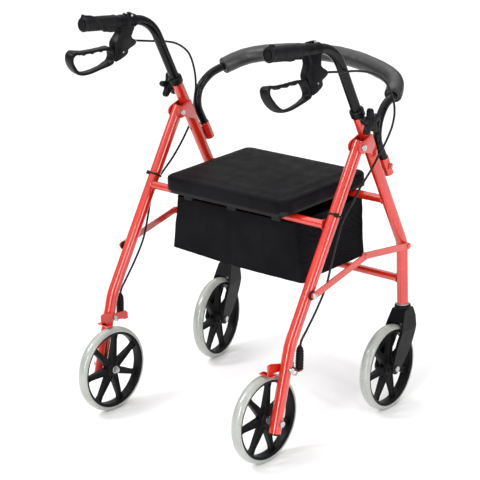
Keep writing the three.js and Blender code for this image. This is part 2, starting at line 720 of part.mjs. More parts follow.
// The bag hangs open under the seat; its walls lean out towards the bottom.
function storageBag() {
  const shell = (inset, bottom, top) => {
    const corners = [];
    for (const [level, z] of [[BAG_BOTTOM, bottom], [BAG_TOP, top]]) {
      const half = level.half - inset;
      const back = level.back + inset;
      const front = level.front - inset;
      corners.push(vec(-half, back, z), vec(-half, front, z), vec(half, front, z), vec(half, back, z));
    }
    const faces = [[0, 1, 2], [0, 2, 3], [4, 6, 5], [4, 7, 6]];
    for (let i = 0; i < 4; i += 1) {
      const next = (i + 1) % 4;
      faces.push([i, next + 4, next], [i, i + 4, next + 4]);
    }
    return solid(new THREE.BufferGeometry().setFromPoints(faces.flat().map((i) => corners[i])));
  };
  const inside = shell(BAG_WALL, BAG_BOTTOM.z + BAG_WALL, BAG_TOP.z + 5);
  return shell(0, BAG_BOTTOM.z, BAG_TOP.z).subtract(inside);
}

// ---------------------------------------------------------------- brake cables

const CABLE_R = 2.4;
const CABLE_STEPS = 58;

// Both cables as if on the right; the left one hangs a little closer to the handle.
const CABLE_LOOP_RIGHT = [
  [266.3, -53.9, 792.6], [267.2, -30, 789.6], [268.5, -5.2, 784.8], [270.5, 42.9, 777],
  [272, 82, 765.8], [273, 111.9, 751.5],
  [273.5, 134.8, 734.2], [274, 149.8, 709.4], [274, 160, 684], [274, 160.8, 660], [274.5, 152.3, 638],
  [275, 141.7, 623.7], [275, 127, 606.8], [274.5, 103, 583.5], [273, 82.5, 561.7], [271.5, 64, 545],
  [270, 47.4, 530], [268, 24.9, 504.2], [267, -7.8, 473],
];
const CABLE_LOOP_LEFT = [
  [266.3, -53.9, 792.6], [267.2, -27, 787.6], [268, -0.5, 781.7], [269.5, 47.8, 771.4], [271, 80.8, 761], [272.5, 104.2, 748.3],
  [273.5, 123.8, 731.7], [274, 134.7, 713.4], [274, 141.5, 691.3], [274, 144.9, 667.4], [274.5, 144.5, 644.3],
  [275, 139, 618], [275, 131, 591], [273.5, 117.4, 565.6], [272, 100, 546], [270.5, 77, 524],
  [269.5, 51, 502], [268.5, 22, 482], [267, -7.8, 460],
];
const CABLE_FALL = [
  [265, -25, 436], [263, -42, 392], [262, -61, 345], [261, -92, 303], [260, -124, 268], [259.2, -141, 250],
  [259, -145.6, 242.2],
];

function brakeCable(loop) {
  const points = [...loop, ...CABLE_FALL].map(([x, y, z]) => vec(x, y, z));
  const curve = new THREE.CatmullRomCurve3(points, false, 'centripetal');
  return bar(stretch(curve, 0, 1, CABLE_STEPS), CABLE_R, 8);
}

// ---------------------------------------------------------------- the whole walker

const group = new THREE.Group();

function place(name, geometry, material, parent = group) {
  const mesh = new THREE.Mesh(geometry, material);
  mesh.name = name;
  parent.add(mesh);
}

function placePair(name, body, material) {
  const right = geometryOf(body);
  place(`${name}_right`, right, material());
  place(`${name}_left`, mirrored(right), material());
}

placePair('front_leg', frontLeg(), redPaint);
placePair('leg_collar', legCollar(), plastic);
placePair('stem_cap', stemCap(), plastic);
placePair('height_knob', heightKnob(), plastic);
placePair('socket_button', socketButton(), steel);
placePair('pivot_bolt', pivotBolt(), steel);
placePair('rear_leg', rearLeg(), redPaint);
placePair('rear_leg_plug', rearLegPlug(), plastic);
placePair('rear_axle', rearAxle(), steel);
placePair('brake_arm', brakeArm(), redPaint);
placePair('brake_screw', brakeScrew(), steel);
placePair('cable_boot', cableBoot(), plastic);
placePair('link_front', linkFront(), redPaint);
placePair('link_rear', linkRear(), redPaint);
placePair('handle_tube', handleTube(), blackPaint);
placePair('grip', grip(), plastic);
place('brake_cable_right', geometryOf(brakeCable(CABLE_LOOP_RIGHT)), plastic());
place('brake_cable_left', mirrored(geometryOf(brakeCable(CABLE_LOOP_LEFT))), plastic());

place('seat_tube_front', geometryOf(crossTube(SEAT_TUBE_FRONT, frontLegRun)), redPaint());
place('seat_tube_rear', geometryOf(crossTube(SEAT_TUBE_REAR, rearLegRun)), redPaint());
place('lower_cross_tube', geometryOf(crossTube(LOWER_TUBE, frontLegRun)), redPaint());
place('seat_board', geometryOf(seatBoard()), plastic());
place('seat_cushion', geometryOf(seatCushion()), vinyl());
place('storage_bag', geometryOf(storageBag()), nylon());
place('backrest_tube', geometryOf(backrestTube()), blackPaint());
place('backrest_foam', geometryOf(backrestFoam()), foam());

const tyreGeometry = geometryOf(tyre());
const rimGeometry = geometryOf(rim());
const forkGeometry = geometryOf(casterFork());
const casterAxleGeometry = geometryOf(casterAxle());
const housingGeometry = geometryOf(brakeHousing());
const leverGeometry = geometryOf(brakeLever());
const pinGeometry = geometryOf(leverPin());

for (const [name, side] of [['left', -1], ['right', 1]]) {
  const rearWheel = new THREE.Group();
  rearWheel.position.set(side * REAR_WHEEL_X, REAR_AXLE_Y, WHEEL_R);
  place(`rear_tyre_${name}`, tyreGeometry, rubber(), rearWheel);
  place(`rear_rim_${name}`, rimGeometry, plastic(), rearWheel);
  group.add(rearWheel);

  const caster = new THREE.Group();
  caster.position.set(side * LEG_X, FRONT_STEM_Y, WHEEL_R);
  caster.rotation.z = radians(CASTER_TURN[name]);
  place(`caster_fork_${name}`, forkGeometry, plastic(), caster);
  place(`caster_axle_${name}`, casterAxleGeometry, steel(), caster);
  const casterWheel = new THREE.Group();
  casterWheel.position.y = -CASTER_TRAIL;
  place(`caster_tyre_${name}`, tyreGeometry, rubber(), casterWheel);
  place(`caster_rim_${name}`, rimGeometry, plastic(), casterWheel);
  caster.add(casterWheel);
  group.add(caster);

  const brake = new THREE.Group();
  brake.position.copy(gripAxis(BRAKE_ORIGIN));
  brake.position.x = side * LEG_X;
  brake.quaternion.setFromAxisAngle(GRIP_BACK, side * radians(BRAKE_TILT));
  place(`brake_housing_${name}`, housingGeometry, plastic(), brake);
  place(`brake_lever_${name}`, leverGeometry, plastic(), brake);
  place(`lever_pin_${name}`, pinGeometry, steel(), brake);
  group.add(brake);
}

export default group;
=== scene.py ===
import math

import bmesh
import bpy
from mathutils import Matrix, Vector, noise


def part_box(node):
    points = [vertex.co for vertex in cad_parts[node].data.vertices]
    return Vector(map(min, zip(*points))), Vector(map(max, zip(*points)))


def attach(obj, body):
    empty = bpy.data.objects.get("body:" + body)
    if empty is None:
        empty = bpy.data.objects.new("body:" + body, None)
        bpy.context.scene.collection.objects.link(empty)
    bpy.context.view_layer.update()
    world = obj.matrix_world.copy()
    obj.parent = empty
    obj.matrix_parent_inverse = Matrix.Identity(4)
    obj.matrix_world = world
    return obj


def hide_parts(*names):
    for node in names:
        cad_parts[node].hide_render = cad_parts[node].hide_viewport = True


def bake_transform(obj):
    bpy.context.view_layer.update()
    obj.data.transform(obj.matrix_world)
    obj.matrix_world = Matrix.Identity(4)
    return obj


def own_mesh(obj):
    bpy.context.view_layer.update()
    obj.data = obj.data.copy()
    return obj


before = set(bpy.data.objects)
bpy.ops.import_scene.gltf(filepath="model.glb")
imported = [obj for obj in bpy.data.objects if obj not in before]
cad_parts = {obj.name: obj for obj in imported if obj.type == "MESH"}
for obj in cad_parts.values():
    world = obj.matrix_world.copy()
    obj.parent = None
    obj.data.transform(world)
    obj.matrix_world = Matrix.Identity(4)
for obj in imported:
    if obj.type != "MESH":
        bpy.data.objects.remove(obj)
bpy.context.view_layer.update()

MM = 0.001
SIDES = {"left": -1, "right": 1}

# ---- sizes, in millimetres, as in the CAD

LEG_X = 255
LEG_R = 12.7
LEG_TOP = 14.3
CROSS_REACH = 243
GAP = 0.35
PIVOT = (60, 612)
GRIP_BACK = Vector((0, -0.9931, 0.1176)).normalized()
BRAKE_TILT = 12
WHEEL_R = 95
REAR_WHEEL = (222, -222.5, 95)
CASTER_STEM_Y = 208.5
STEM_CAP_Z = 213
LINK_PIVOT = (LEG_X, -115.5, 342)
KNOB_AT = -9
GRIP_START = 110.7
GRIP_END = 204
HOUSING_AT = 85
HANDLE_R = 10.9
CABLE_R = 2.4
AXLE = (1, 0, 0)
CASTER_TRAIL = 65
CASTER_TURN = {"left": 12, "right": 4}
SPOKE_TURN = 11.5


def front_axis(along, forward=0, x=LEG_X):
    return Vector((x, 64.5 - 0.418 * along + 0.908 * forward, 675 + 0.908 * along + 0.418 * forward))


def grip_axis(along):
    return Vector((LEG_X, -8.8 - 0.9931 * along, 834.5 + 0.1176 * along))


FRONT_UP = (front_axis(1) - front_axis(0)).normalized()
REAR_UP = Vector((0, 60 + 174, 612 - 247)).normalized()
REAR_TOP = Vector((LEG_X, 60, 612)) + REAR_UP * 11
REAR_DOWN = Vector((0, -222.5 + 174, 95 - 247)).normalized()
REAR_FOOT = Vector((LEG_X, -222.5, 95)) + REAR_DOWN * 22

# ---- curves


def rounded(points, radius, step=4):
    """Straight runs joined by arcs, as a list of stations."""
    out = [points[0]]
    for before, corner, after in zip(points, points[1:], points[2:]):
        into = (corner - before).normalized()
        leave = (after - corner).normalized()
        turn = into.angle(leave)
        reach = radius * math.tan(turn / 2)
        inward = (leave - into).normalized()
        centre = corner + inward * (radius / math.cos(turn / 2))
        start = corner - into * reach - centre
        axis = into.cross(leave).normalized()
        count = max(3, math.ceil(math.degrees(turn) / step))
        for k in range(count + 1):
            out.append(Matrix.Rotation(turn * k / count, 3, axis) @ start + centre)
    out.append(points[-1])
    return out


def smooth_curve(points, per_span=10, closed=False):
    """A centripetal Catmull-Rom curve through the points."""
    pts = [Vector(p) for p in points]
    if closed:
        pts = [pts[-1]] + pts + [pts[0], pts[1]]
    else:
        pts = [pts[0] * 2 - pts[1]] + pts + [pts[-1] * 2 - pts[-2]]
    out = []
    for p0, p1, p2, p3 in zip(pts, pts[1:], pts[2:], pts[3:]):
        t0 = 0.0
        t1 = t0 + (p1 - p0).length ** 0.5
        t2 = t1 + (p2 - p1).length ** 0.5
        t3 = t2 + (p3 - p2).length ** 0.5
        for k in range(per_span):
            t = t1 + (t2 - t1) * k / per_span
            a1 = p0 * ((t1 - t) / (t1 - t0)) + p1 * ((t - t0) / (t1 - t0))
            a2 = p1 * ((t2 - t) / (t2 - t1)) + p2 * ((t - t1) / (t2 - t1))
            a3 = p2 * ((t3 - t) / (t3 - t2)) + p3 * ((t - t2) / (t3 - t2))
            b1 = a1 * ((t2 - t) / (t2 - t0)) + a2 * ((t - t0) / (t2 - t0))
            b2 = a2 * ((t3 - t) / (t3 - t1)) + a3 * ((t - t1) / (t3 - t1))
            out.append(b1 * ((t2 - t) / (t2 - t1)) + b2 * ((t - t1) / (t2 - t1)))
    if not closed:
        out.append(Vector(points[-1]))
    return out


def stretch(points, start, end, count):
    """Stations evenly spaced between two shares of a polyline's length."""
    lengths = [0.0]
    for a, b in zip(points, points[1:]):
        lengths.append(lengths[-1] + (b - a).length)
    out = []
    i = 0
    for k in range(count + 1):
        goal = lengths[-1] * (start + (end - start) * k / count)
        while i < len(points) - 2 and lengths[i + 1] < goal:
            i += 1
        share = (goal - lengths[i]) / (lengths[i + 1] - lengths[i])
        out.append(points[i].lerp(points[i + 1], share))
    return out


# ---- mesh shapes


class Shape:
    """Closed surfaces in millimetres, gathered into one piece."""

    def __init__(self):
        self.verts = []
        self.faces = []

    def add(self, verts, faces):
        base = len(self.verts)
        self.verts += [Vector(v) for v in verts]
        self.faces += [[i + base for i in face] for face in faces]
        return self

    def rings(self, rings, closed=False):
        """Skins a list of rings that hold the same number of points, and caps the ends."""
        count = len(rings[0])
        verts = [p for ring in rings for p in ring]
        faces = []
        spans = len(rings) if closed else len(rings) - 1
        for i in range(spans):
            a = i * count
            b = ((i + 1) % len(rings)) * count
            for k in range(count):
                n = (k + 1) % count
                faces.append([a + k, a + n, b + n, b + k])
        if not closed:
            faces.append(list(reversed(range(count))))
            faces.append([len(verts) - count + k for k in range(count)])
        return self.add(verts, faces)

    def tube(self, stations, radius, sides=28, section=None, closed=False):
        """A round bar along the stations, whose radius may be a function of the share of the length."""
        count = len(stations)
        tangents = []
        for i in range(count):
            before = stations[i - 1] if i or closed else stations[i]
            after = stations[(i + 1) % count] if i < count - 1 or closed else stations[i]
            tangents.append((after - before).normalized())
        side = tangents[0].orthogonal().normalized()
        rings = []
        for i in range(count):
            side = (side - tangents[i] * side.dot(tangents[i])).normalized()
            up = tangents[i].cross(side)
            share = i / (count - 1)
            size = radius(share) if callable(radius) else radius
            ring = []
            for k in range(sides):
                angle = 2 * math.pi * k / sides
                here = size * (section(share, angle) if section else 1)
                ring.append(stations[i] + (side * math.cos(angle) + up * math.sin(angle)) * here)
            rings.append(ring)
        return self.rings(rings, closed)

    def lathe(self, profile, base, direction, sides=40):
        """A profile of (height, radius) about the line through base, closed if it leaves the axis."""
        direction = Vector(direction).normalized()
        across = direction.orthogonal().normalized()
        third = direction.cross(across)
        loops = []
        for k in range(sides):
            angle = 2 * math.pi * k / sides
            out = across * math.cos(angle) + third * math.sin(angle)
            loops.append([Vector(base) + direction * h + out * r for h, r in profile])
        count = len(profile)
        verts = [p for loop in loops for p in loop]
        faces = []
        on_axis = profile[0][1] == 0 and profile[-1][1] == 0
        spans = count - 1 if on_axis else count
        for k in range(sides):
            a = k * count
            b = ((k + 1) % sides) * count
            for i in range(spans):
                n = (i + 1) % count
                faces.append([a + i, b + i, b + n, a + n])
        return self.add(verts, faces)

    def plate(self, outline, x0, x1, bevel=0.6, steps=2):
        """A flat outline in (y, z) with thickness from x0 to x1 and rounded edges."""
        after = outline[1:] + outline[:1]
        if sum(a[0] * b[1] - b[0] * a[1] for a, b in zip(outline, after)) < 0:
            outline = outline[::-1]
        count = len(outline)
        normals = []
        for i in range(count):
            a, b, c = (Vector(outline[(i + d) % count]) for d in (-1, 0, 1))
            one = (b - a).normalized()
            two = (c - b).normalized()
            n1 = Vector((one.y, -one.x))
            n2 = Vector((two.y, -two.x))
            mid = (n1 + n2).normalized() if (n1 + n2).length > 1e-6 else n1
            normals.append(mid / max(mid.dot(n1), 0.5))
        levels = []
        for k in range(steps + 1):
            angle = math.pi / 2 * k / steps
            levels.append((x0 + bevel * (1 - math.sin(angle)), bevel * (1 - math.cos(angle))))
        near = levels[::-1]
        far = [(x0 + x1 - x, inset) for x, inset in levels]
        rings = []
        for x, inset in sorted(near + far):
            rings.append([
                Vector((x, p[0] - n.x * inset, p[1] - n.y * inset)) for p, n in zip(outline, normals)
            ])
        return self.rings(rings)


def build(shape, name, material, body, side=1, matrix=None, sharp=38, instead_of=()):
    """Makes the object, in metres, and lets it ride on its body."""
    mesh = bpy.data.meshes.new(name)
    verts = [Vector((v.x * side, v.y, v.z)) for v in shape.verts]
    faces = [face[::-1] for face in shape.faces] if side < 0 else shape.faces
    mesh.from_pydata([v * MM for v in verts], [], faces)
    tidy = bmesh.new()
    tidy.from_mesh(mesh)
    bmesh.ops.remove_doubles(tidy, verts=tidy.verts, dist=0.02 * MM)
    bmesh.ops.recalc_face_normals(tidy, faces=tidy.faces)
    tidy.to_mesh(mesh)
    tidy.free()
    if matrix is not None:
        mesh.transform(matrix)
    mesh.polygons.foreach_set("use_smooth", [True] * len(mesh.polygons))
    mesh.set_sharp_from_angle(angle=math.radians(sharp))
    piece = bpy.data.objects.new(name, mesh)
    bpy.context.scene.collection.objects.link(piece)
    mesh.materials.append(material)
    if body:
        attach(piece, body)
    if instead_of:
        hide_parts(*instead_of)
    return piece


def softened(node, name, material, body, bevel, sharp=30):
    """The CAD node's own shape with its flat faces merged and its edges rounded."""
    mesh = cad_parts[node].data.copy()
    mesh.name = name
    tidy = bmesh.new()
    tidy.from_mesh(mesh)
    bmesh.ops.remove_doubles(tidy, verts=tidy.verts, dist=0.00002)
    bmesh.ops.dissolve_limit(tidy, angle_limit=math.radians(1.0), verts=tidy.verts, edges=tidy.edges)
    tidy.to_mesh(mesh)
    tidy.free()
    mesh.materials.clear()
    mesh.materials.append(material)
    mesh.polygons.foreach_set("use_smooth", [True] * len(mesh.polygons))
    mesh.set_sharp_from_angle(angle=math.radians(sharp))
    piece = bpy.data.objects.new(name, mesh)
    bpy.context.scene.collection.objects.link(piece)
    rounding = piece.modifiers.new("edges", "BEVEL")
    rounding.width = bevel * MM
    rounding.segments = 2
    rounding.limit_method = "ANGLE"
    rounding.angle_limit = math.radians(sharp)
    rounding.harden_normals = True
    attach(piece, body)
    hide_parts(node)
    return piece


# ---- materials


class Finish:
    """A Principled material whose colour, roughness and bump come from procedural textures."""

    def __init__(self, name, roughness, metallic=0.0, specular=0.5):
        self.material = bpy.data.materials.new(name)
        self.material.use_nodes = True
        self.tree = self.material.node_tree
        self.shader = self.tree.nodes["Principled BSDF"]
        self.shader.inputs["Metallic"].default_value = metallic
        self.shader.inputs["Roughness"].default_value = roughness
        self.shader.inputs["Specular IOR Level"].default_value = specular
        self.where = self.tree.nodes.new("ShaderNodeTexCoord").outputs["Object"]
        self.height = None

    def node(self, kind, **values):
        made = self.tree.nodes.new(kind)
        for key, value in values.items():
            if key in made.inputs:
                made.inputs[key].default_value = value
            else:
                setattr(made, key, value)
        return made

    def link(self, a, b):
        self.tree.links.new(a, b)

    def stretched(self, scale):
        mapping = self.node("ShaderNodeMapping")
        mapping.inputs["Scale"].default_value = scale
        self.link(self.where, mapping.inputs["Vector"])
        return mapping.outputs["Vector"]

    def noise(self, scale, detail=4, vector=None):
        made = self.node("ShaderNodeTexNoise", Scale=scale, Detail=detail)
        self.link(vector or self.where, made.inputs["Vector"])
        return made.outputs["Fac"]

    def ramp(self, source, low, high, start=0.3, end=0.7):
        made = self.node("ShaderNodeMapRange")
        made.inputs["From Min"].default_value = start
        made.inputs["From Max"].default_value = end
        made.inputs["To Min"].default_value = low
        made.inputs["To Max"].default_value = high
        self.link(source, made.inputs["Value"])
        return made.outputs["Result"]

    def colours(self, source, first, second, start=0.35, end=0.65):
        made = self.node("ShaderNodeValToRGB")
        made.color_ramp.elements[0].position = start
        made.color_ramp.elements[1].position = end
        made.color_ramp.elements[0].color = (*first, 1)
        made.color_ramp.elements[1].color = (*second, 1)
        self.link(source, made.inputs["Fac"])
        self.link(made.outputs["Color"], self.shader.inputs["Base Color"])
        return self

    def rough(self, source, low, high):
        self.link(self.ramp(source, low, high), self.shader.inputs["Roughness"])
        return self

    def bump(self, source, distance, strength=1.0):
        made = self.node("ShaderNodeBump", Strength=strength, Distance=distance * MM)
        self.link(source, made.inputs["Height"])
        if self.height is not None:
            self.link(self.height, made.inputs["Normal"])
        self.height = made.outputs["Normal"]
        self.link(self.height, self.shader.inputs["Normal"])
        return self

    def coat(self, weight, roughness):
        self.shader.inputs["Coat Weight"].default_value = weight
        self.shader.inputs["Coat Roughness"].default_value = roughness
        return self

    def sheen(self, weight, roughness):
        self.shader.inputs["Sheen Weight"].default_value = weight
        self.shader.inputs["Sheen Roughness"].default_value = roughness
        return self

    def waves(self, scale, direction):
        made = self.node("ShaderNodeTexWave", Scale=scale, bands_direction=direction)
        self.link(self.where, made.inputs["Vector"])
        return made.outputs["Fac"]

    def cells(self, scale):
        made = self.node("ShaderNodeTexVoronoi", Scale=scale, feature="DISTANCE_TO_EDGE")
        self.link(self.where, made.inputs["Vector"])
        return made.outputs["Distance"]

    def joined(self, first, second, how="MULTIPLY"):
        made = self.node("ShaderNodeMath", operation=how)
        self.link(first, made.inputs[0])
        self.link(second, made.inputs[1])
        return made.outputs["Value"]


def paint(name, deep, light, roughness, coat, specular):
    made = Finish(name, roughness, specular=specular)
    made.colours(made.noise(18, 3), deep, light)
    made.rough(made.noise(60, 5), roughness - 0.04, roughness + 0.06)
    made.bump(made.noise(700, 2), 0.05, 0.25)
    return made.coat(coat, 0.05).material


def moulded(name, deep, light, low, high, grain=1400, depth=0.05, specular=0.2):
    made = Finish(name, low, specular=specular)
    made.colours(made.noise(40, 5), deep, light)
    made.rough(made.noise(90, 6), low, high)
    made.bump(made.noise(grain, 3), depth, 0.5)
    return made.material


def black(shade, light):
    """A near-black base colour pair with a faint cool tint."""
    return (shade, shade, shade + 0.001), (light, light, light + 0.001)


red_paint = paint("red_powder_coat", (0.47, 0.012, 0.004), (0.56, 0.020, 0.007), 0.22, 1.0, 0.5)
black_paint = paint("black_powder_coat", *black(0.003, 0.006), 0.26, 0.3, 0.04)
plastic = moulded("black_moulding", *black(0.003, 0.007), 0.28, 0.42, specular=0.13)
wheel_plastic = moulded("wheel_moulding", *black(0.004, 0.008), 0.36, 0.52, 900, 0.06, 0.12)
rubber = moulded("black_rubber", *black(0.004, 0.008), 0.34, 0.5, 900, 0.1, 0.14)
cable_skin = moulded("cable_sleeve", *black(0.004, 0.008), 0.28, 0.42, 600, 0.03)
board_plastic = moulded("seat_base", *black(0.005, 0.010), 0.4, 0.56, 500, 0.12, 0.16)


def tyre_material():
    made = Finish("grey_tyre", 0.34)
    cloudy = made.noise(22, 6)
    made.colours(cloudy, (0.27, 0.285, 0.26), (0.36, 0.375, 0.345), 0.25, 0.75)
    made.rough(made.noise(130, 5), 0.24, 0.46)
    made.bump(made.noise(260, 4), 0.12, 0.35)
    made.bump(made.noise(1500, 2), 0.03, 0.5)
    return made.coat(1.0, 0.08).material


def steel_material():
    made = Finish("zinc_plate", 0.28, metallic=1.0)
    brushed = made.noise(300, 4, made.stretched((1, 1, 14)))
    made.colours(brushed, (0.36, 0.36, 0.37), (0.66, 0.66, 0.67))
    made.rough(brushed, 0.18, 0.4)
    made.bump(brushed, 0.03, 0.4)
    return made.material


def vinyl_material():
    made = Finish("black_vinyl", 0.46, specular=0.05)
    made.colours(made.noise(9, 5), *black(0.003, 0.008))
    made.rough(made.noise(35, 6), 0.42, 0.58)
    wrinkled = made.noise(45, 6)
    made.bump(wrinkled, 0.3, 0.25)
    made.bump(made.cells(620), 0.22, 0.55)
    made.bump(made.noise(2200, 2), 0.04, 0.4)
    return made.sheen(0.006, 0.4).material


def nylon_material():
    made = Finish("woven_nylon", 0.75, specular=0.03)
    warp = made.waves(240, "X")
    weft = made.waves(240, "Z")
    depth = made.waves(240, "Y")
    weave = made.joined(made.joined(warp, weft), made.ramp(depth, 0.75, 1.0, 0, 1))
    shade = made.joined(weave, made.noise(14, 6), "ADD")
    made.colours(shade, *black(0.002, 0.009), 0.3, 0.8)
    made.rough(made.noise(30, 4), 0.62, 0.85)
    made.bump(made.noise(28, 5), 1.2, 0.3)
    made.bump(weave, 0.25, 0.6)
    return made.sheen(0.004, 0.45).material


def foam_material():
    made = Finish("closed_cell_foam", 0.42, specular=0.6)
    made.colours(made.noise(30, 6), *black(0.007, 0.014))
    made.rough(made.noise(70, 5), 0.34, 0.5)
    made.bump(made.noise(50, 4), 0.5, 0.3)
    made.bump(made.cells(1300), 0.12, 0.5)
    return made.sheen(0.01, 0.5).material


tyre_grey = tyre_material()
steel = steel_material()
vinyl = vinyl_material()
nylon = nylon_material()
foam = foam_material()

# ---- legs and cross tubes

front_leg_run = rounded(
    [front_axis(LEG_TOP), Vector((LEG_X, CASTER_STEM_Y, 362)), Vector((LEG_X, CASTER_STEM_Y, 222))], 70
)
rear_leg_run = rounded([REAR_TOP, Vector((LEG_X, -174, 247)), REAR_FOOT], 110)


def arc(centre, radius, start, end, count=14):
    return [
        (
            centre[0] + radius * math.cos(math.radians(start + (end - start) * k / count)),
            centre[1] + radius * math.sin(math.radians(start + (end - start) * k / count)),
        )
        for k in range(count + 1)
    ]


def socket_point(along):
    return front_axis(along, 29.5)


def front_leg():
    shape = Shape().tube(front_leg_run, LEG_R, 36)
    for face in (-1, 1):
        inner = LEG_X + face * (LEG_R + GAP)
        outer = LEG_X + face * (LEG_R + GAP + 2.5)
        ear = arc(PIVOT, 13.5, 125, 300)
        ear += [(103, 587), (106.5, 590), (107, 595), (91, 634), (87, 635), (81, 632)]
        shape.plate(ear, min(inner, outer), max(inner, outer), 0.7)
        x = LEG_X + face * (LEG_R - 0.4)
        seam = [Vector((x, 104 - 14 * k / 8, 596 + 30 * k / 8)) for k in range(9)]
        shape.tube(seam, lambda t: 1.9 + 0.25 * math.sin(t * 44), 10)
    socket = [(0, 9.65), (0, 10.6), (0.5, 11), (42.5, 11), (43, 10.6), (43, 9.65)]
    shape.lathe(socket, socket_point(-174), FRONT_UP, 40)
    for out in (9.5, 12.5):
        web = [front_axis(-139, out - 3), front_axis(-139, out + 9)]
        web += [front_axis(-169, out + 9), front_axis(-169, out - 3)]
        shape.plate([(p.y, p.z) for p in web], LEG_X - 2, LEG_X + 2, 0.5)
    for turn in (-1, 1):
        start = front_axis(-139, 14.5, LEG_X + turn * 2)
        end = front_axis(-169, 14.5, LEG_X + turn * 2)
        shape.tube([start.lerp(end, k / 9) for k in range(10)], lambda t: 1.7 + 0.25 * math.sin(t * 50), 10)
    boss = socket_point(-153)
    shape.lathe([(8, 4.4), (8, 7), (13.3, 7), (14, 6.4), (14, 4.4)], boss, AXLE, 28)
    dimple = socket_point(-141)
    shape.lathe([(9.5, 0), (9.5, 3.6), (11.2, 3.2), (11.9, 1.8), (12.1, 0)], dimple, AXLE, 20)
    return shape


def rear_leg():
    shape = Shape().tube(rear_leg_run, LEG_R, 36)
    stud = [(-13.1, 0), (-13.1, 5.2), (-12.4, 5.6), (-11, 5.6), (-11, 0)]
    shape.lathe(stud, (LEG_X, -188, 201), AXLE, 24)
    return shape


def cross_tube(y, z, reach, flare):
    """A cross tube with a weld bead round each end."""
    stations = [Vector((-reach + 2 * reach * k / 12, y, z)) for k in range(13)]
    shape = Shape().tube(stations, 9, 32)
    for end in (-1, 1):
        ring = []
        for k in range(25):
            angle = 2 * math.pi * k / 24
            depth = flare * (1 - math.sqrt(max(0, 1 - (9 * math.sin(angle) / LEG_R) ** 2)))
            ring.append(Vector((
                end * (reach - 1.5 + depth), y + 9.4 * math.sin(angle), z + 9.4 * math.cos(angle)
            )))
        shape.tube(ring, 1.5, 8)
    return shape


for name, side in SIDES.items():
    build(front_leg(), f"leg_front_{name}", red_paint, "front_frame", side,
          instead_of=[f"front_leg_{name}"])
    build(rear_leg(), f"leg_rear_{name}", red_paint, "rear_frame", side,
          instead_of=[f"rear_leg_{name}"])

build(cross_tube(160, 470, CROSS_REACH, 6), "tube_seat_front", red_paint, "front_frame",
      instead_of=["seat_tube_front"])
build(cross_tube(-40, 468, CROSS_REACH, 6), "tube_seat_rear", red_paint, "rear_frame",
      instead_of=["seat_tube_rear"])
build(cross_tube(208.5, 278, CROSS_REACH, 6), "tube_low_front", red_paint, "front_frame",
      instead_of=["lower_cross_tube"])

# ---- plugs, collars, rings and hardware


def end_plug():
    profile = [
        (-6, 0), (-6, 10.4), (0.2, 10.4), (0.2, 12.3), (1.3, 11.7), (2.4, 10), (3.1, 6.8), (3.3, 3),
        (3.35, 0),
    ]
    return Shape().lathe(profile, REAR_TOP, REAR_UP, 36)


def foot_plug():
    profile = [(-5, 0), (-5, 10), (0.2, 10), (0.2, 12.9), (2.6, 12.9), (3.8, 11.8), (4.1, 9), (4.2, 0)]
    return Shape().lathe(profile, REAR_FOOT, REAR_DOWN, 36)


def cable_ring():
    centre = Vector((LEG_X, -21.4, 485))
    across = Vector((1, 0, 0))
    third = REAR_UP.cross(across)
    ring = []
    for k in range(48):
        angle = 2 * math.pi * k / 48
        ring.append(centre + across * (14.2 * math.cos(angle)) + third * (14.2 * math.sin(angle)))
    shape = Shape().tube(ring, 2.1, 10, closed=True)
    clip = centre + across * 12 - third * 8.5
    shape.lathe([(-4, 2.6), (-4, 4.4), (-3, 5), (3, 5), (4, 4.4), (4, 2.6)], clip, REAR_UP, 20)
    return shape


def collar():
    profile = [
        (-12, 12.9), (-12, 14.8), (-11.2, 15.4), (-8, 15.4), (-7.4, 14.9), (-6.6, 15.4), (-0.4, 15.4),
        (0.4, 15.6), (1.6, 15.6), (2.2, 15.1), (3.6, 14.7), (4.5, 13.8), (4.5, 11.2), (0.4, 11.2),
        (0.4, 12.9),
    ]
    return Shape().lathe(profile, front_axis(LEG_TOP), FRONT_UP, 44)


def stem_cap():
    profile = [
        (0, 8.6), (0, 17.2), (0.8, 18), (3.2, 18), (3.8, 17.3), (4.6, 17.3), (5.2, 17.7), (6.6, 17.4),
        (8.1, 15.8), (8.6, 14.6), (8.6, 8.6),
    ]
    return Shape().lathe(profile, (LEG_X, CASTER_STEM_Y, STEM_CAP_Z), (0, 0, 1), 44)


def stem_washer():
    """The bright washer between a leg's foot and its bearing cap."""
    profile = [(8.2, 12.9), (8.2, 15), (9.6, 15.2), (10.1, 14.6), (10.1, 12.9)]
    return Shape().lathe(profile, (LEG_X, CASTER_STEM_Y, STEM_CAP_Z), (0, 0, 1), 44)


def link_washer():
    """The rubber washer between a rear leg and its fold link."""
    profile = [(12.3, 0), (12.3, 9), (13, 9.7), (16.4, 9.7), (17.2, 9), (17.4, 0)]
    return Shape().lathe(profile, LINK_PIVOT, AXLE, 36)


def link_rivet():
    profile = [(21, 0), (21, 6.3), (23.4, 6.3), (24.4, 5.5), (25, 4), (25.3, 2), (25.4, 0)]
    return Shape().lathe(profile, LINK_PIVOT, AXLE, 36)


def star_knob():
    centre = front_axis(KNOB_AT)
    lobes = []
    for k in range(100):
        angle = 2 * math.pi * k / 100
        lift = math.cos(5 * angle - math.pi / 2)
        radius = 21.6 + 7.3 * math.copysign(abs(lift) ** 0.8, lift)
        lobes.append((centre.y + radius * math.cos(angle), centre.z + radius * math.sin(angle)))
    shape = Shape().plate(lobes, LEG_X + 21, LEG_X + 34, 3.2, 5)
    neck = [(13.05, 0), (13.05, 8.6), (14, 9.5), (18, 9.5), (20, 12), (22, 14), (23, 0)]
    shape.lathe(neck, centre, AXLE, 36)
    cap = [(32, 0), (32, 10), (35.5, 9.4), (36.6, 8.2), (36.6, 6.4), (36, 5.8), (37.2, 3.2), (37.4, 0)]
    shape.lathe(cap, centre, AXLE, 36)
    return shape


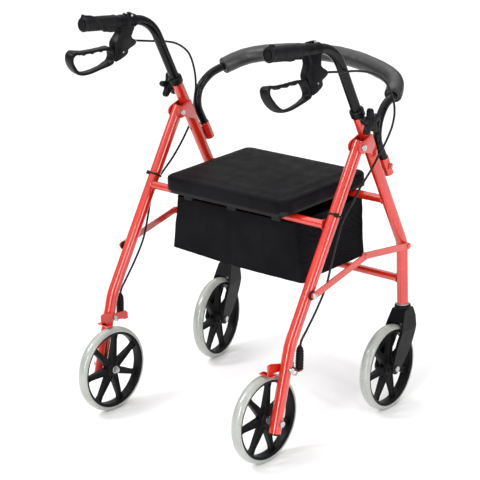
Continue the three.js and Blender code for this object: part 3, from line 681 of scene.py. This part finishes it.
HARDWARE = (
    ("pivot_bolt", "bolt_pivot_{}", steel, "rear_frame", 0.5),
    ("rear_axle", "axle_rear_{}", steel, "rear_frame", 0.5),
    ("brake_screw", "screw_arm_{}", steel, "rear_frame", 0.5),
    ("brake_arm", "arm_{}_look", red_paint, "arm_{}", 0.5),
    ("link_front", "strut_front_{}", red_paint, "links_front", 0.6),
    ("link_rear", "strut_rear_{}", red_paint, "links_rear", 0.6),
    ("caster_axle", "axle_caster_{}", steel, "caster_{}", 0.5),
    ("caster_fork", "fork_{}", plastic, "caster_{}", 1.6),
    ("socket_button", "button_{}_look", steel, "button_{}", 0.6),
    ("lever_pin", "pin_lever_{}", steel, "handle_{}", 0.4),
)
for name, side in SIDES.items():
    build(end_plug(), f"plug_top_{name}", plastic, "rear_frame", side,
          instead_of=[f"rear_leg_plug_{name}"])
    build(foot_plug(), f"plug_foot_{name}", plastic, "rear_frame", side)
    build(cable_ring(), f"cable_ring_{name}", rubber, "rear_frame", side)
    build(collar(), f"collar_{name}", plastic, "front_frame", side,
          instead_of=[f"leg_collar_{name}"])
    build(link_washer(), f"link_washer_{name}", rubber, "rear_frame", side)
    build(link_rivet(), f"link_rivet_{name}", steel, "links_rear", side)
    build(stem_washer(), f"stem_washer_{name}", steel, "front_frame", side)
    build(stem_cap(), f"bearing_cap_{name}", plastic, "front_frame", side,
          instead_of=[f"stem_cap_{name}"])
    build(star_knob(), f"knob_{name}", plastic, f"knob_{name}", side,
          instead_of=[f"height_knob_{name}"])
    for node, look, material, body, bevel in HARDWARE:
        softened(f"{node}_{name}", look.format(name), material, body.format(name), bevel)

# ---- wheels, axle on X at the origin


def tyre():
    half = [
        (11.7, 84.9), (12.5, 85.6), (12.7, 86.8), (12.3, 88.4), (10.9, 90.5), (8.6, 92.4), (5.8, 93.9),
        (3, 94.7),
    ]
    profile = [(0, WHEEL_R)] + [(x, r) for x, r in half[::-1]] + [(-x, r) for x, r in half]
    return Shape().lathe(profile, (0, 0, 0), AXLE, 96)


def rim():
    half = [
        (2, 77.9), (9.2, 78.6), (9.8, 79.6), (10.1, 81.4), (11.7, 81.9), (12.5, 82.6), (12.6, 83.8),
        (11.9, 84.7),
    ]
    profile = half + [(-x, r) for x, r in half[::-1]]
    shape = Shape().lathe(profile, (0, 0, 0), AXLE, 96)
    hub = [
        (-13, 4.6), (-13, 11.5), (-12.2, 12.4), (-9, 13), (-7, 16.5), (7, 16.5), (9, 13), (12.2, 12.4),
        (13, 11.5), (13, 4.6),
    ]
    shape.lathe(hub, (0, 0, 0), AXLE, 48)
    for i in range(7):
        angle = math.radians(SPOKE_TURN + 360 * i / 7)
        out = Vector((0, math.sin(angle), math.cos(angle)))
        across = Vector((0, math.cos(angle), -math.sin(angle)))
        rings = []
        for share in (0, 0.12, 0.3, 0.55, 0.8, 0.93, 1):
            reach = 12 + 67.5 * share
            wide = 8.6 - 3.1 * min(share / 0.8, 1) + (2.2 * (share - 0.8) / 0.2 if share > 0.8 else 0)
            thick = 7.2 - 2.4 * min(share / 0.8, 1)
            deep = thick - 2.2
            section = [
                (-wide, -thick + 0.7), (-wide + 0.7, -thick), (-wide + 2.1, -thick), (-wide + 2.8, -deep),
                (-0.9, -deep), (-0.5, -deep - 1.4), (0.5, -deep - 1.4), (0.9, -deep),
                (wide - 2.8, -deep), (wide - 2.1, -thick), (wide - 0.7, -thick), (wide, -thick + 0.7),
            ]
            section += [(w, -t) for w, t in section[::-1]]
            rings.append([out * reach + across * w + Vector((t, 0, 0)) for w, t in section])
        shape.rings(rings)
    return shape


def bearing():
    shape = Shape()
    for end in (-1, 1):
        profile = [(9, 4.6), (9, 8.4), (13.1, 8.4), (13.4, 8), (13.4, 6.6), (12.9, 6.2), (12.9, 4.6)]
        shape.lathe([(end * x, r) for x, r in profile], (0, 0, 0), AXLE, 36)
    return shape


for name, side in SIDES.items():
    rear_place = Matrix.Translation(Vector((side * REAR_WHEEL[0], REAR_WHEEL[1], REAR_WHEEL[2])) * MM)
    turn = Matrix.Rotation(math.radians(CASTER_TURN[name]), 4, "Z")
    stem = Matrix.Translation(Vector((side * LEG_X, CASTER_STEM_Y, WHEEL_R)) * MM)
    caster_place = stem @ turn @ Matrix.Translation(Vector((0, -CASTER_TRAIL, 0)) * MM)
    for kind, place, body in (
        ("rear", rear_place, f"rear_wheel_{name}"), ("caster", caster_place, f"caster_wheel_{name}"),
    ):
        build(tyre(), f"tyre_{kind}_{name}", tyre_grey, body, matrix=place, sharp=60,
              instead_of=[f"{kind}_tyre_{name}"])
        build(rim(), f"rim_{kind}_{name}", wheel_plastic, body, matrix=place, sharp=32,
              instead_of=[f"{kind}_rim_{name}"])
        build(bearing(), f"bearing_{kind}_{name}", steel, body, matrix=place)

# ---- handles

handle_run = rounded([front_axis(LEG_TOP - 95), Vector((LEG_X, -8.8, 834.5)), grip_axis(198)], 84)


def handle_tube():
    return Shape().tube(handle_run, HANDLE_R, 36)


def grip():
    """A ribbed grip with a raised palm ridge that winds round it, and a ringed end."""
    length = GRIP_END - GRIP_START
    right = Vector((1, 0, 0))
    up = right.cross(GRIP_BACK).normalized()
    if up.z < 0:
        up = -up
    heights = [0.4 * k for k in range(int(length / 0.4) + 1)]
    rings = []
    sides = 64
    for h in heights:
        share = h / length
        ring = []
        for k in range(sides):
            angle = 2 * math.pi * k / sides
            radius = 14.6 + 0.9 * math.sin(math.pi * share)
            radius += 1.1 * math.exp(-((share - 0.97) / 0.05) ** 2)
            radius += 1.2 * math.exp(-((share - 0.02) / 0.04) ** 2)
            if 0.1 < share < 0.9:
                radius += 0.32 * math.cos(2 * math.pi * h / 3.4)
            climb = max(0.0, min(1.0, (share - 0.36) / 0.5))
            lean = 14 * max(0, share - 0.86) / 0.14
            ridge = math.radians(246 - 152 * climb * climb * (3 - 2 * climb) - lean)
            off = (angle - ridge + math.pi) % (2 * math.pi) - math.pi
            fin = 4.4 + 2.8 * math.exp(-((share - 0.14) / 0.13) ** 2)
            fin += 2.2 * math.exp(-((share - 1) / 0.07) ** 2)
            radius += fin * max(0, min(1, share / 0.05)) * math.exp(-(off / 0.17) ** 2)
            if share > 0.975:
                radius -= 2.2 * ((share - 0.975) / 0.025) ** 2
            if share < 0.012:
                radius -= 0.8
            ring.append(grip_axis(GRIP_START + h) + (right * math.cos(angle) + up * math.sin(angle)) * radius)
        rings.append(ring)
    ring_end = (
        (11.6, 0.5), (11.2, 0.2), (10.6, -1.6), (8.8, -1.6), (8.4, 0.3), (6.6, 0.5), (5.8, -0.6), (0.6, -0.9),
    )
    for inset, depth in ring_end:
        centre = grip_axis(GRIP_START + heights[-1] + depth)
        ring = []
        for k in range(sides):
            angle = 2 * math.pi * k / sides
            ring.append(centre + (right * math.cos(angle) + up * math.sin(angle)) * inset)
        rings.append(ring)
    return Shape().rings(rings)


def brake_matrix(side):
    origin = grip_axis(HOUSING_AT)
    origin.x *= side
    tilt = Matrix.Rotation(math.radians(side * BRAKE_TILT), 4, GRIP_BACK)
    return Matrix.Translation(origin * MM) @ tilt


HOUSING = [
    (-10, -4), (-10, -22), (-13.5, -29), (-20, -37), (-24, -43), (-25.3, -48), (-24.4, -56), (-22.5, -76),
    (-21, -85), (-18, -87), (-6, -84.5), (8, -79), (14, -75.5), (16.5, -71), (16.5, -65), (22, -62.5),
    (32, -59),
    (37, -56), (38, -52), (36.5, -48), (31, -44), (25, -40), (22, -35), (24, -28), (27.5, -20), (29, -4),
]
LEVER_OUTSIDE = [
    (-33, -53), (-44, -50), (-61, -49), (-90, -48), (-114, -46), (-129, -43.5), (-142, -41.5),
    (-149.5, -47), (-151, -58), (-144, -76), (-130, -92), (-113, -100), (-92, -102), (-67, -99.5),
    (-42, -94.5), (-24, -88), (-24.2, -78), (-26, -66), (-29.5, -58),
]
LEVER_OPENING = [
    (-36, -59), (-45, -56.5), (-61, -55), (-90, -54), (-113, -52.5), (-128, -50), (-136, -48),
    (-142, -51.5), (-143.5, -59), (-137, -72), (-124, -86), (-110, -94), (-92, -96), (-67, -93.5),
    (-44, -88.8), (-33, -85), (-29.5, -78), (-30.5, -70), (-32.5, -63),
]
LEVER_PIVOT = (0, -67)


def along_grip(distance):
    return GRIP_BACK * (distance - HOUSING_AT)


def brake_housing():
    shape = Shape().plate(HOUSING, -11, 11, 2.4, 4)
    for face in (-1, 1):
        panel = [(4 + (y - 4) * 0.78, -46 + (z + 46) * 0.78) for y, z in HOUSING]
        shape.plate(panel, min(face * 9, face * 11.7), max(face * 9, face * 11.7), 1.0, 3)
        for y in (-4, 2, 8, 14):
            rib = [(y, -15), (y + 2, -15), (y + 2, -38), (y, -38)]
            shape.plate(rib, min(face * 9, face * 12.3), max(face * 9, face * 12.3), 0.5, 2)
    clamp = [
        (0, 11.2), (0, 13.6), (1, 14.5), (5, 14.5), (6, 13.8), (24, 13.8), (25, 14.6), (44, 14.6), (45, 13.9),
        (52, 13.6), (57, 14.4), (58.2, 14), (59, 13), (59, 11.2),
    ]
    shape.lathe(clamp, along_grip(51), GRIP_BACK, 44)
    for y in (4, 16):
        shape.plate([(y, 8), (y + 7, 8), (y + 7, 15.6), (y, 16.2)], -6.5, 6.5, 1.2, 3)
    return shape


def clamp_screws():
    shape = Shape()
    for x in (-1, 1):
        shape.lathe([(5, 0), (5, 2.9), (7.6, 2.9), (8.3, 2.3), (8.3, 0)], (0, 19.5, 12), (x, 0, 0), 20)
    shape.lathe([(14, 0), (14, 3), (16.9, 2.9), (17.5, 2.2), (17.5, 0)], (0, 8, 0), (0, 0, 1), 20)
    barrel = [(-2, 0), (-2, 3.4), (1.4, 3.4), (1.8, 2.8), (5.8, 2.8), (6.6, 3.2), (7.4, 2.8), (7.4, 0)]
    shape.lathe(barrel, (0, 38, -52.5), (0, 1, 0), 24)
    return shape


def brake_lever():
    """A closed loop with finger bumps under its top bar, and a tongue into the housing."""
    outside = smooth_curve([(0, y, z) for y, z in LEVER_OUTSIDE], 12, closed=True)
    inside = smooth_curve([(0, y, z) for y, z in LEVER_OPENING], 12, closed=True)
    rings = []
    for outer, inner in zip(outside, inside):
        out = (outer - inner).normalized()
        wide = 7.4 + 3.8 * max(0, min(1, (-inner.y - 112) / 24))
        wide += 3.3 * max(0, min(1, (inner.y + 56) / 16))
        if inner.z > -70 and -122 < inner.y < -52:
            inner = inner - out * (2.4 * max(0, math.cos((inner.y + 62) / 25 * 2 * math.pi)) ** 0.8)
        section = [
            (outer - out * 1.4, -wide), (outer - out * 0.4, 1 - wide), (outer, 2.4 - wide),
            (outer + out * 0.3, 0), (outer, wide - 2.4), (outer - out * 0.4, wide - 1),
            (outer - out * 1.4, wide),
            (inner + out * 1.4, wide), (inner + out * 0.4, wide - 1), (inner, wide - 2.4), (inner, 0),
            (inner, 2.4 - wide), (inner + out * 0.4, 1 - wide), (inner + out * 1.4, -wide),
        ]
        rings.append([point + Vector((x, 0, 0)) for point, x in section])
    shape = Shape().rings(rings, closed=True)
    py, pz = LEVER_PIVOT
    tongue = [
        (-32, pz - 9), (py, pz - 7), (py + 5, pz - 5), (py + 7, pz), (py + 5, pz + 5), (py, pz + 7),
        (-8, pz + 4), (-32, pz + 3),
    ]
    return shape.plate(tongue, -4.5, 4.5, 0.8)


for name, side in SIDES.items():
    body = f"handle_{name}"
    build(handle_tube(), f"bar_{name}", black_paint, body, side,
          instead_of=[f"handle_tube_{name}"])
    build(grip(), f"handgrip_{name}", rubber, body, side, sharp=50,
          instead_of=[f"grip_{name}"])
    build(brake_housing(), f"housing_{name}", plastic, body, matrix=brake_matrix(side),
          instead_of=[f"brake_housing_{name}"])
    build(clamp_screws(), f"clamp_screws_{name}", steel, body, matrix=brake_matrix(side))
    build(brake_lever(), f"lever_{name}_look", plastic, f"lever_{name}", matrix=brake_matrix(side), sharp=50,
          instead_of=[f"brake_lever_{name}"])

# ---- backrest

BACKREST = [
    (254.8, 127.5, 612), (253.4, 134.5, 648), (247.5, 163, 675), (239, 203, 688), (207, 249, 706),
    (114, 284, 721),
]
FOAM_ENDS = (0.212, 0.788)
rise = [socket_point(-168), socket_point(-135)]
half_back = rise + [Vector(p) for p in BACKREST]
other_half = [Vector((-p.x, p.y, p.z)) for p in half_back[::-1]]
backrest_curve = smooth_curve(half_back + [Vector((0, 298.9, 727))] + other_half, 14)

back_tube = Shape().tube(stretch(backrest_curve, 0, 1, 180), 9.2, 32)
build(back_tube, "backrest_bar", black_paint, "backrest", instead_of=["backrest_tube"])


def foam_radius(share):
    end = min(share, 1 - share)
    if end < 0.004:
        return 19 - 1.6 * (1 - end / 0.004) ** 2
    return 19 + 0.25 * math.sin(share * 91) * math.sin(share * 37)


def foam_section(share, angle):
    place = Vector((math.cos(angle) * 1.4, math.sin(angle) * 1.4, share * 26))
    return 1 + 0.012 * noise.noise(place)


foam_stations = stretch(backrest_curve, *FOAM_ENDS, 240)
foam_shape = Shape().tube(foam_stations, foam_radius, 48, foam_section)
pad = build(foam_shape, "backrest_pad", foam, "backrest", sharp=60, instead_of=["backrest_foam"])

foam_ends = Shape()
end_profile = [
    (-1, 9.3), (-1, 16.4), (0.4, 16.2), (0.6, 15.2), (-0.2, 14.4), (-0.2, 11), (0.5, 10.2), (0.5, 9.3),
]
for share, step in zip(FOAM_ENDS, (0.0015, -0.0015)):
    start, inner = stretch(backrest_curve, share, share + step, 1)
    foam_ends.lathe(end_profile, start, (start - inner).normalized(), 44)
build(foam_ends, "backrest_pad_ends", rubber, "backrest")

# ---- cables and boots

CABLE_RIGHT = [
    (265.2, -50, 792.8), (267.2, -30, 789.6), (268.5, -5.2, 784.8), (270.5, 42.9, 777),
    (272, 82, 765.8), (273, 111.9, 751.5), (273.5, 134.8, 734.2), (274, 149.8, 709.4),
    (274, 160, 684), (274, 160.8, 660), (274.5, 152.3, 638),
    (275, 141.7, 623.7), (275, 127, 606.8), (274.5, 103, 583.5), (273, 82.5, 561.7), (271.5, 64, 545),
    (270, 47.4, 530), (268, 24.9, 504.2), (267, -7.8, 473),
]
CABLE_LEFT = [
    (265.2, -50, 792.8), (267.2, -27, 787.6), (268, -0.5, 781.7), (269.5, 47.8, 771.4),
    (271, 80.8, 761), (272.5, 104.2, 748.3), (273.5, 123.8, 731.7), (274, 134.7, 713.4),
    (274, 141.5, 691.3), (274, 144.9, 667.4), (274.5, 144.5, 644.3),
    (275, 139, 618), (275, 131, 591), (273.5, 117.4, 565.6), (272, 100, 546), (270.5, 77, 524),
    (269.5, 51, 502), (268.5, 22, 482), (267, -7.8, 460),
]
CABLE_FALL = [
    (265, -25, 436), (263, -42, 392), (262, -61, 345), (261, -92, 303), (260, -124, 268), (259.2, -141, 250),
    (259, -145.6, 240),
]
SPAN_STEPS = 9
SPLIT = 12  # the point where the cable's upper and lower halves meet


def boot():
    """A ribbed rubber boot that narrows towards the cable."""
    foot = Vector((LEG_X + 4, -150.5, 189))
    head = Vector((LEG_X + 4, -146, 241))
    length = (head - foot).length
    ribs = [8.4, 8.6, 8.7, 8.7, 8.6, 8.5, 8.4, 8.2, 7.2]
    pitch = (length - 5) / len(ribs)
    profile = [(0, 0)]
    for k, size in enumerate(ribs):
        at = pitch * k
        profile += [
            (at, size - 1.5), (at + 0.15 * pitch, size - 0.4), (at + 0.35 * pitch, size),
            (at + 0.6 * pitch, size), (at + 0.8 * pitch, size - 0.5), (at + 0.95 * pitch, size - 1.5),
        ]
    profile += [(length - 1, 3.6), (length, 3), (length, 0)]
    return Shape().lathe(profile, foot, head - foot, 32)


def return_spring():
    """A loop of spring wire beside the brake arm."""
    centre = Vector((LEG_X + 2, -163, 187))
    wire = []
    for k in range(56):
        angle = 2 * math.pi * k / 28
        wire.append(centre + Vector((-1.5 + 0.07 * k, 7 * math.cos(angle), 7 * math.sin(angle))))
    return Shape().tube(wire, 0.8, 8)


for name, side in SIDES.items():
    loop = CABLE_RIGHT if side > 0 else CABLE_LEFT
    points = [Vector((x * side, y, z)) for x, y, z in loop + CABLE_FALL]
    whole = smooth_curve(points, SPAN_STEPS)
    cut = SPLIT * SPAN_STEPS
    run = Shape().tube(whole[: cut + 1], CABLE_R, 18)
    upper = build(run, f"cable_upper_{name}", cable_skin, None, sharp=60,
                  instead_of=[f"brake_cable_{name}"])
    lower = build(Shape().tube(whole[cut:], CABLE_R, 18), f"cable_lower_{name}", cable_skin, None, sharp=60)
    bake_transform(upper)
    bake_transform(lower)
    sleeve = build(boot(), f"boot_{name}", rubber, "rear_frame", side,
                   instead_of=[f"cable_boot_{name}"])
    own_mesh(sleeve)
    build(return_spring(), f"spring_{name}", steel, f"arm_{name}", side)

# ---- seat

softened("seat_board", "seat_base", board_plastic, "seat", 1.0)


def rounded_box(low, high, corner, edge):
    """A box with rounded upright corners and rounded top and bottom edges."""
    mesh = bmesh.new()
    size = high - low
    bmesh.ops.create_cube(mesh, size=1)
    for v in mesh.verts:
        v.co = Vector((low[i] + (v.co[i] + 0.5) * size[i] for i in range(3)))
    upright = [e for e in mesh.edges if abs(e.verts[0].co.z - e.verts[1].co.z) > size.z * 0.5]
    bmesh.ops.bevel(mesh, geom=upright, offset=corner, segments=8, profile=0.5, affect="EDGES")
    mesh.normal_update()
    rims = []
    for edge_here in mesh.edges:
        if 0.5 < sum(abs(face.normal.z) for face in edge_here.link_faces) < 1.5:
            rims.append(edge_here)
    bmesh.ops.bevel(mesh, geom=rims, offset=edge, segments=4, profile=0.5, affect="EDGES")
    return mesh


PAD_BASE = 0.481
PAD_REAR_LIP = 0.0055


def cushion():
    """A firm pad, a little smaller than its CAD box, that the cloth pressure then fills."""
    low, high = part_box("seat_cushion")
    inset = 0.003
    low = Vector((low.x + inset, low.y + inset, PAD_BASE))
    mesh = rounded_box(low, high - Vector((inset, inset, inset)), 0.02, 0.007)
    data = bpy.data.meshes.new("seat_pad")
    mesh.to_mesh(data)
    mesh.free()
    piece = bpy.data.objects.new("seat_pad", data)
    bpy.context.scene.collection.objects.link(piece)
    inflate(piece, 0.0045, 0.005, PAD_BASE)
    return piece


def applied(piece):
    """Replaces the piece's mesh by what its modifiers make of it."""
    graph = bpy.context.evaluated_depsgraph_get()
    made = bpy.data.meshes.new_from_object(piece.evaluated_get(graph))
    old = piece.data
    piece.modifiers.clear()
    piece.data = made
    bpy.data.meshes.remove(old)


def inflate(piece, voxel, cap, base):
    """Puffs a remeshed pad with cloth pressure, and lets no point move further than cap."""
    remesh = piece.modifiers.new("remesh", "REMESH")
    remesh.mode = "VOXEL"
    remesh.voxel_size = voxel
    applied(piece)
    start = [v.co.copy() for v in piece.data.vertices]
    pinned = piece.vertex_groups.new(name="base")
    pinned.add([i for i, co in enumerate(start) if co.z < base + 0.004], 1.0, "ADD")
    cloth = piece.modifiers.new("cloth", "CLOTH")
    cloth.settings.quality = 5
    cloth.settings.use_pressure = True
    cloth.settings.uniform_pressure_force = 4
    cloth.settings.effector_weights.gravity = 0
    cloth.settings.vertex_group_mass = "base"
    cloth.collision_settings.use_self_collision = False
    scene = bpy.context.scene
    for number in range(1, 21):
        scene.frame_set(number)
    applied(piece)
    scene.frame_set(1)
    half = [max(co[axis] for co in start) - min(co[axis] for co in start) for axis in range(2)]
    middle = [(max(co[axis] for co in start) + min(co[axis] for co in start)) / 2 for axis in range(2)]
    for v, before in zip(piece.data.vertices, start):
        moved = v.co - before
        border = min(half[axis] / 2 - abs(before[axis] - middle[axis]) for axis in range(2))
        inner = max(0.0, min(1.0, border / 0.07))
        moved.x *= 0.3 * inner
        moved.y *= 0.3 * inner
        moved.z = max(0.0, moved.z) * inner
        v.co = before + moved * min(1, cap / max(moved.length, 1e-9))
        if v.co.z < base:
            v.co.z = base


seat_pad = cushion()
seat_pad.data.materials.append(vinyl)
crease = seat_pad.modifiers.new("round", "SUBSURF")
crease.levels = crease.render_levels = 1
applied(seat_pad)
low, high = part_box("seat_cushion")
for v in seat_pad.data.vertices:
    rearward = max(0.0, min(1.0, (low.y + 0.026 - v.co.y) / 0.018))
    below = max(0.0, min(1.0, (PAD_BASE + 0.016 - v.co.z) / 0.014))
    v.co.z -= PAD_REAR_LIP * rearward * rearward * (3 - 2 * rearward) * below
seat_pad.data.polygons.foreach_set("use_smooth", [True] * len(seat_pad.data.polygons))
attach(seat_pad, "seat")
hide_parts("seat_cushion")


# ---- bag

# Half the width, the back and front walls, and the height.
BAG_TOP = (167, -46, 188, 456)
BAG_FOOT = (187, -46, 166, 334)
BAG_RUNS = (60, 40, 60, 40)
CORNER_STEPS = 5


def bag_outline(half, back, front, corner=9):
    """Evenly spaced points round a rectangle with rounded corners, from its left rear corner."""
    runs = [
        (Vector((-half + corner, back)), Vector((half - corner, back))),
        (Vector((half, back + corner)), Vector((half, front - corner))),
        (Vector((half - corner, front)), Vector((-half + corner, front))),
        (Vector((-half, front - corner)), Vector((-half, back + corner))),
    ]
    points = []
    for (start, end), count in zip(runs, BAG_RUNS):
        points += [start.lerp(end, k / count) for k in range(count + 1)]
        along = (end - start).normalized()
        inward = Vector((-along.y, along.x))
        for k in range(1, CORNER_STEPS):
            angle = math.pi / 2 * k / CORNER_STEPS
            points.append(end + inward * corner * (1 - math.cos(angle)) + along * corner * math.sin(angle))
    return points


def bag_shell():
    """One continuous fabric wall that leans out and hangs in folds, and a sagging bottom."""
    levels = 34
    rings = []
    for level in range(levels + 1):
        share = level / levels
        half, back, front, z = (a + (b - a) * share for a, b in zip(BAG_TOP, BAG_FOOT))
        pull = math.sin(math.pi * share) ** 0.8
        ring = []
        for point in bag_outline(half, back, front):
            x, y = point
            if abs(y - back) < 1:
                fold = 7 * math.exp(-((x + 12 + 10 * share) / 9) ** 2)
                fold -= 3.5 * math.exp(-((x - 12) / 20) ** 2)
                drape = 2.4 * math.sin(x / 31 + 2.2 * share) + 1.3 * math.sin(x / 13 - 3 * share)
                y += (fold * (0.35 + 0.65 * pull) + drape * pull) * min(1, (half - abs(x)) / 30)
            elif abs(y - front) < 1:
                y -= pull * (1 + 2 * math.sin(x / 29 + 1)) * min(1, (half - abs(x)) / 30)
            if abs(abs(x) - half) < 1:
                x -= math.copysign(pull * (4 + 2.6 * math.sin(y / 24 + 1.5 * share)), x)
            ripple = noise.noise(Vector((x / 38, y / 38, z / 55)))
            crumple = noise.noise(Vector((x / 14, y / 14, z / 20)))
            out = Vector((x, y - (back + front) / 2)).normalized()
            push = (2.2 * ripple + 0.7 * crumple) * (0.2 + pull)
            sag = 0
            if abs(y - back) < 12:
                sag = 4 * share * x / half + 4 * share ** 3 * math.cos(min(1.5, abs(x) / half * 1.5))
            ring.append(Vector((x + out.x * push, y + out.y * push, z - sag + 1.2 * ripple * share)))
        rings.append(ring)
    around = len(rings[0])
    last = rings[levels]
    centre = sum(last, Vector()) / around
    for share in (0.985, 0.95, 0.85, 0.7, 0.5, 0.3, 0.12, 0.03):
        ring = []
        for p in last:
            q = centre + (p - centre) * share
            q.z = p.z * share + centre.z * (1 - share) - 1.5 * (1 - share)
            q.z += 1.4 * noise.noise(Vector((q.x / 30, q.y / 30, 5)))
            ring.append(q)
        rings.append(ring)
    verts = [p for ring in rings for p in ring]
    faces = []
    for i in range(len(rings) - 1):
        for k in range(around):
            n = (k + 1) % around
            faces.append([i * around + k, i * around + n, (i + 1) * around + n, (i + 1) * around + k])
    faces.append([len(verts) - around + k for k in range(around)])
    return Shape().add(verts, faces), rings[: levels + 1]


shell, bag_rings = bag_shell()
bag = build(shell, "bag", nylon, "front_frame", sharp=70, instead_of=["storage_bag"])
cloth_thickness = bag.modifiers.new("cloth", "SOLIDIFY")
cloth_thickness.thickness = 1.2 * MM
cloth_thickness.offset = 1
applied(bag)
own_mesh(bag)

binding = Shape().tube(bag_rings[0], 2, 8, closed=True)
seam = -2
for run in BAG_RUNS:
    seam += run + CORNER_STEPS
    binding.tube([ring[seam] for ring in bag_rings], 1.3, 8)
binding.tube(bag_rings[-1], 1.4, 8, closed=True)
hem = build(binding, "bag_binding", nylon, "front_frame", sharp=60)
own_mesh(hem)

# ---- floor, light and camera

floor_mesh = bpy.data.meshes.new("floor")
floor_mesh.from_pydata([(-9, -9, 0), (9, -9, 0), (9, 9, 0), (-9, 9, 0)], [], [(0, 1, 2, 3)])
floor = bpy.data.objects.new("floor", floor_mesh)
bpy.context.scene.collection.objects.link(floor)
pale = Finish("pale_floor", 0.7)
pale.colours(pale.noise(3, 3), (0.93, 0.93, 0.93), (0.96, 0.96, 0.96))
floor_mesh.materials.append(pale.material)

world = bpy.data.worlds.new("studio")
world.use_nodes = True
sky = world.node_tree.nodes.new("ShaderNodeTexCoord")
height = world.node_tree.nodes.new("ShaderNodeSeparateXYZ")
fade = world.node_tree.nodes.new("ShaderNodeMapRange")
fade.inputs["From Min"].default_value = 0.1
fade.inputs["From Max"].default_value = 0.9
fade.inputs["To Min"].default_value = 0.22
fade.inputs["To Max"].default_value = 1.0
world.node_tree.links.new(sky.outputs["Generated"], height.inputs["Vector"])
world.node_tree.links.new(height.outputs["Z"], fade.inputs["Value"])
world.node_tree.links.new(fade.outputs["Result"], world.node_tree.nodes["Background"].inputs["Strength"])
world.node_tree.nodes["Background"].inputs["Color"].default_value = (1, 1, 1, 1)
bpy.context.scene.world = world


def softbox(name, place, target, width, height, power):
    light = bpy.data.lights.new(name, "AREA")
    light.shape = "RECTANGLE"
    light.size = width
    light.size_y = height
    light.energy = power
    lamp = bpy.data.objects.new(name, light)
    lamp.location = place
    lamp.rotation_mode = "QUATERNION"
    lamp.rotation_quaternion = (Vector(target) - Vector(place)).to_track_quat("-Z", "Y")
    bpy.context.scene.collection.objects.link(lamp)


softbox("key", (1.2, -3.4, 1.5), (0, 0, 0.45), 0.35, 2.4, 60)
softbox("side", (3.4, -0.6, 1.5), (0, 0, 0.45), 0.3, 2.4, 45)
softbox("rim", (-1.6, -2.0, 3.4), (0, 0, 0.6), 0.7, 1.6, 60)

for name, power, spread, tilt in (("overhead", 0.7, 60, (12, -14)), ("front", 0.5, 50, (-30, -30))):
    sun = bpy.data.lights.new(name, "SUN")
    sun.energy = power
    sun.angle = math.radians(spread)
    lamp = bpy.data.objects.new(name, sun)
    lamp.rotation_euler = (math.radians(tilt[0]), math.radians(tilt[1]), 0)
    bpy.context.scene.collection.objects.link(lamp)

camera_data = bpy.data.cameras.new("camera")
camera_data.sensor_width = 36
camera_data.lens = 138.48
camera_data.clip_end = 60
camera = bpy.data.objects.new("camera", camera_data)
right = Vector((0.74945942, 0.6610017, -0.037247))
up = Vector((-0.18764436, 0.26603525, 0.94552358))
back = right.cross(up)
turn = Matrix((right, up, back)).transposed().to_4x4()
camera.matrix_world = Matrix.Translation(Vector((2.51933, -2.8138, 1.667))) @ turn
bpy.context.scene.collection.objects.link(camera)
bpy.context.scene.camera = camera
bpy.context.scene.view_settings.view_transform = "Standard"
bpy.context.scene.view_settings.look = "None"
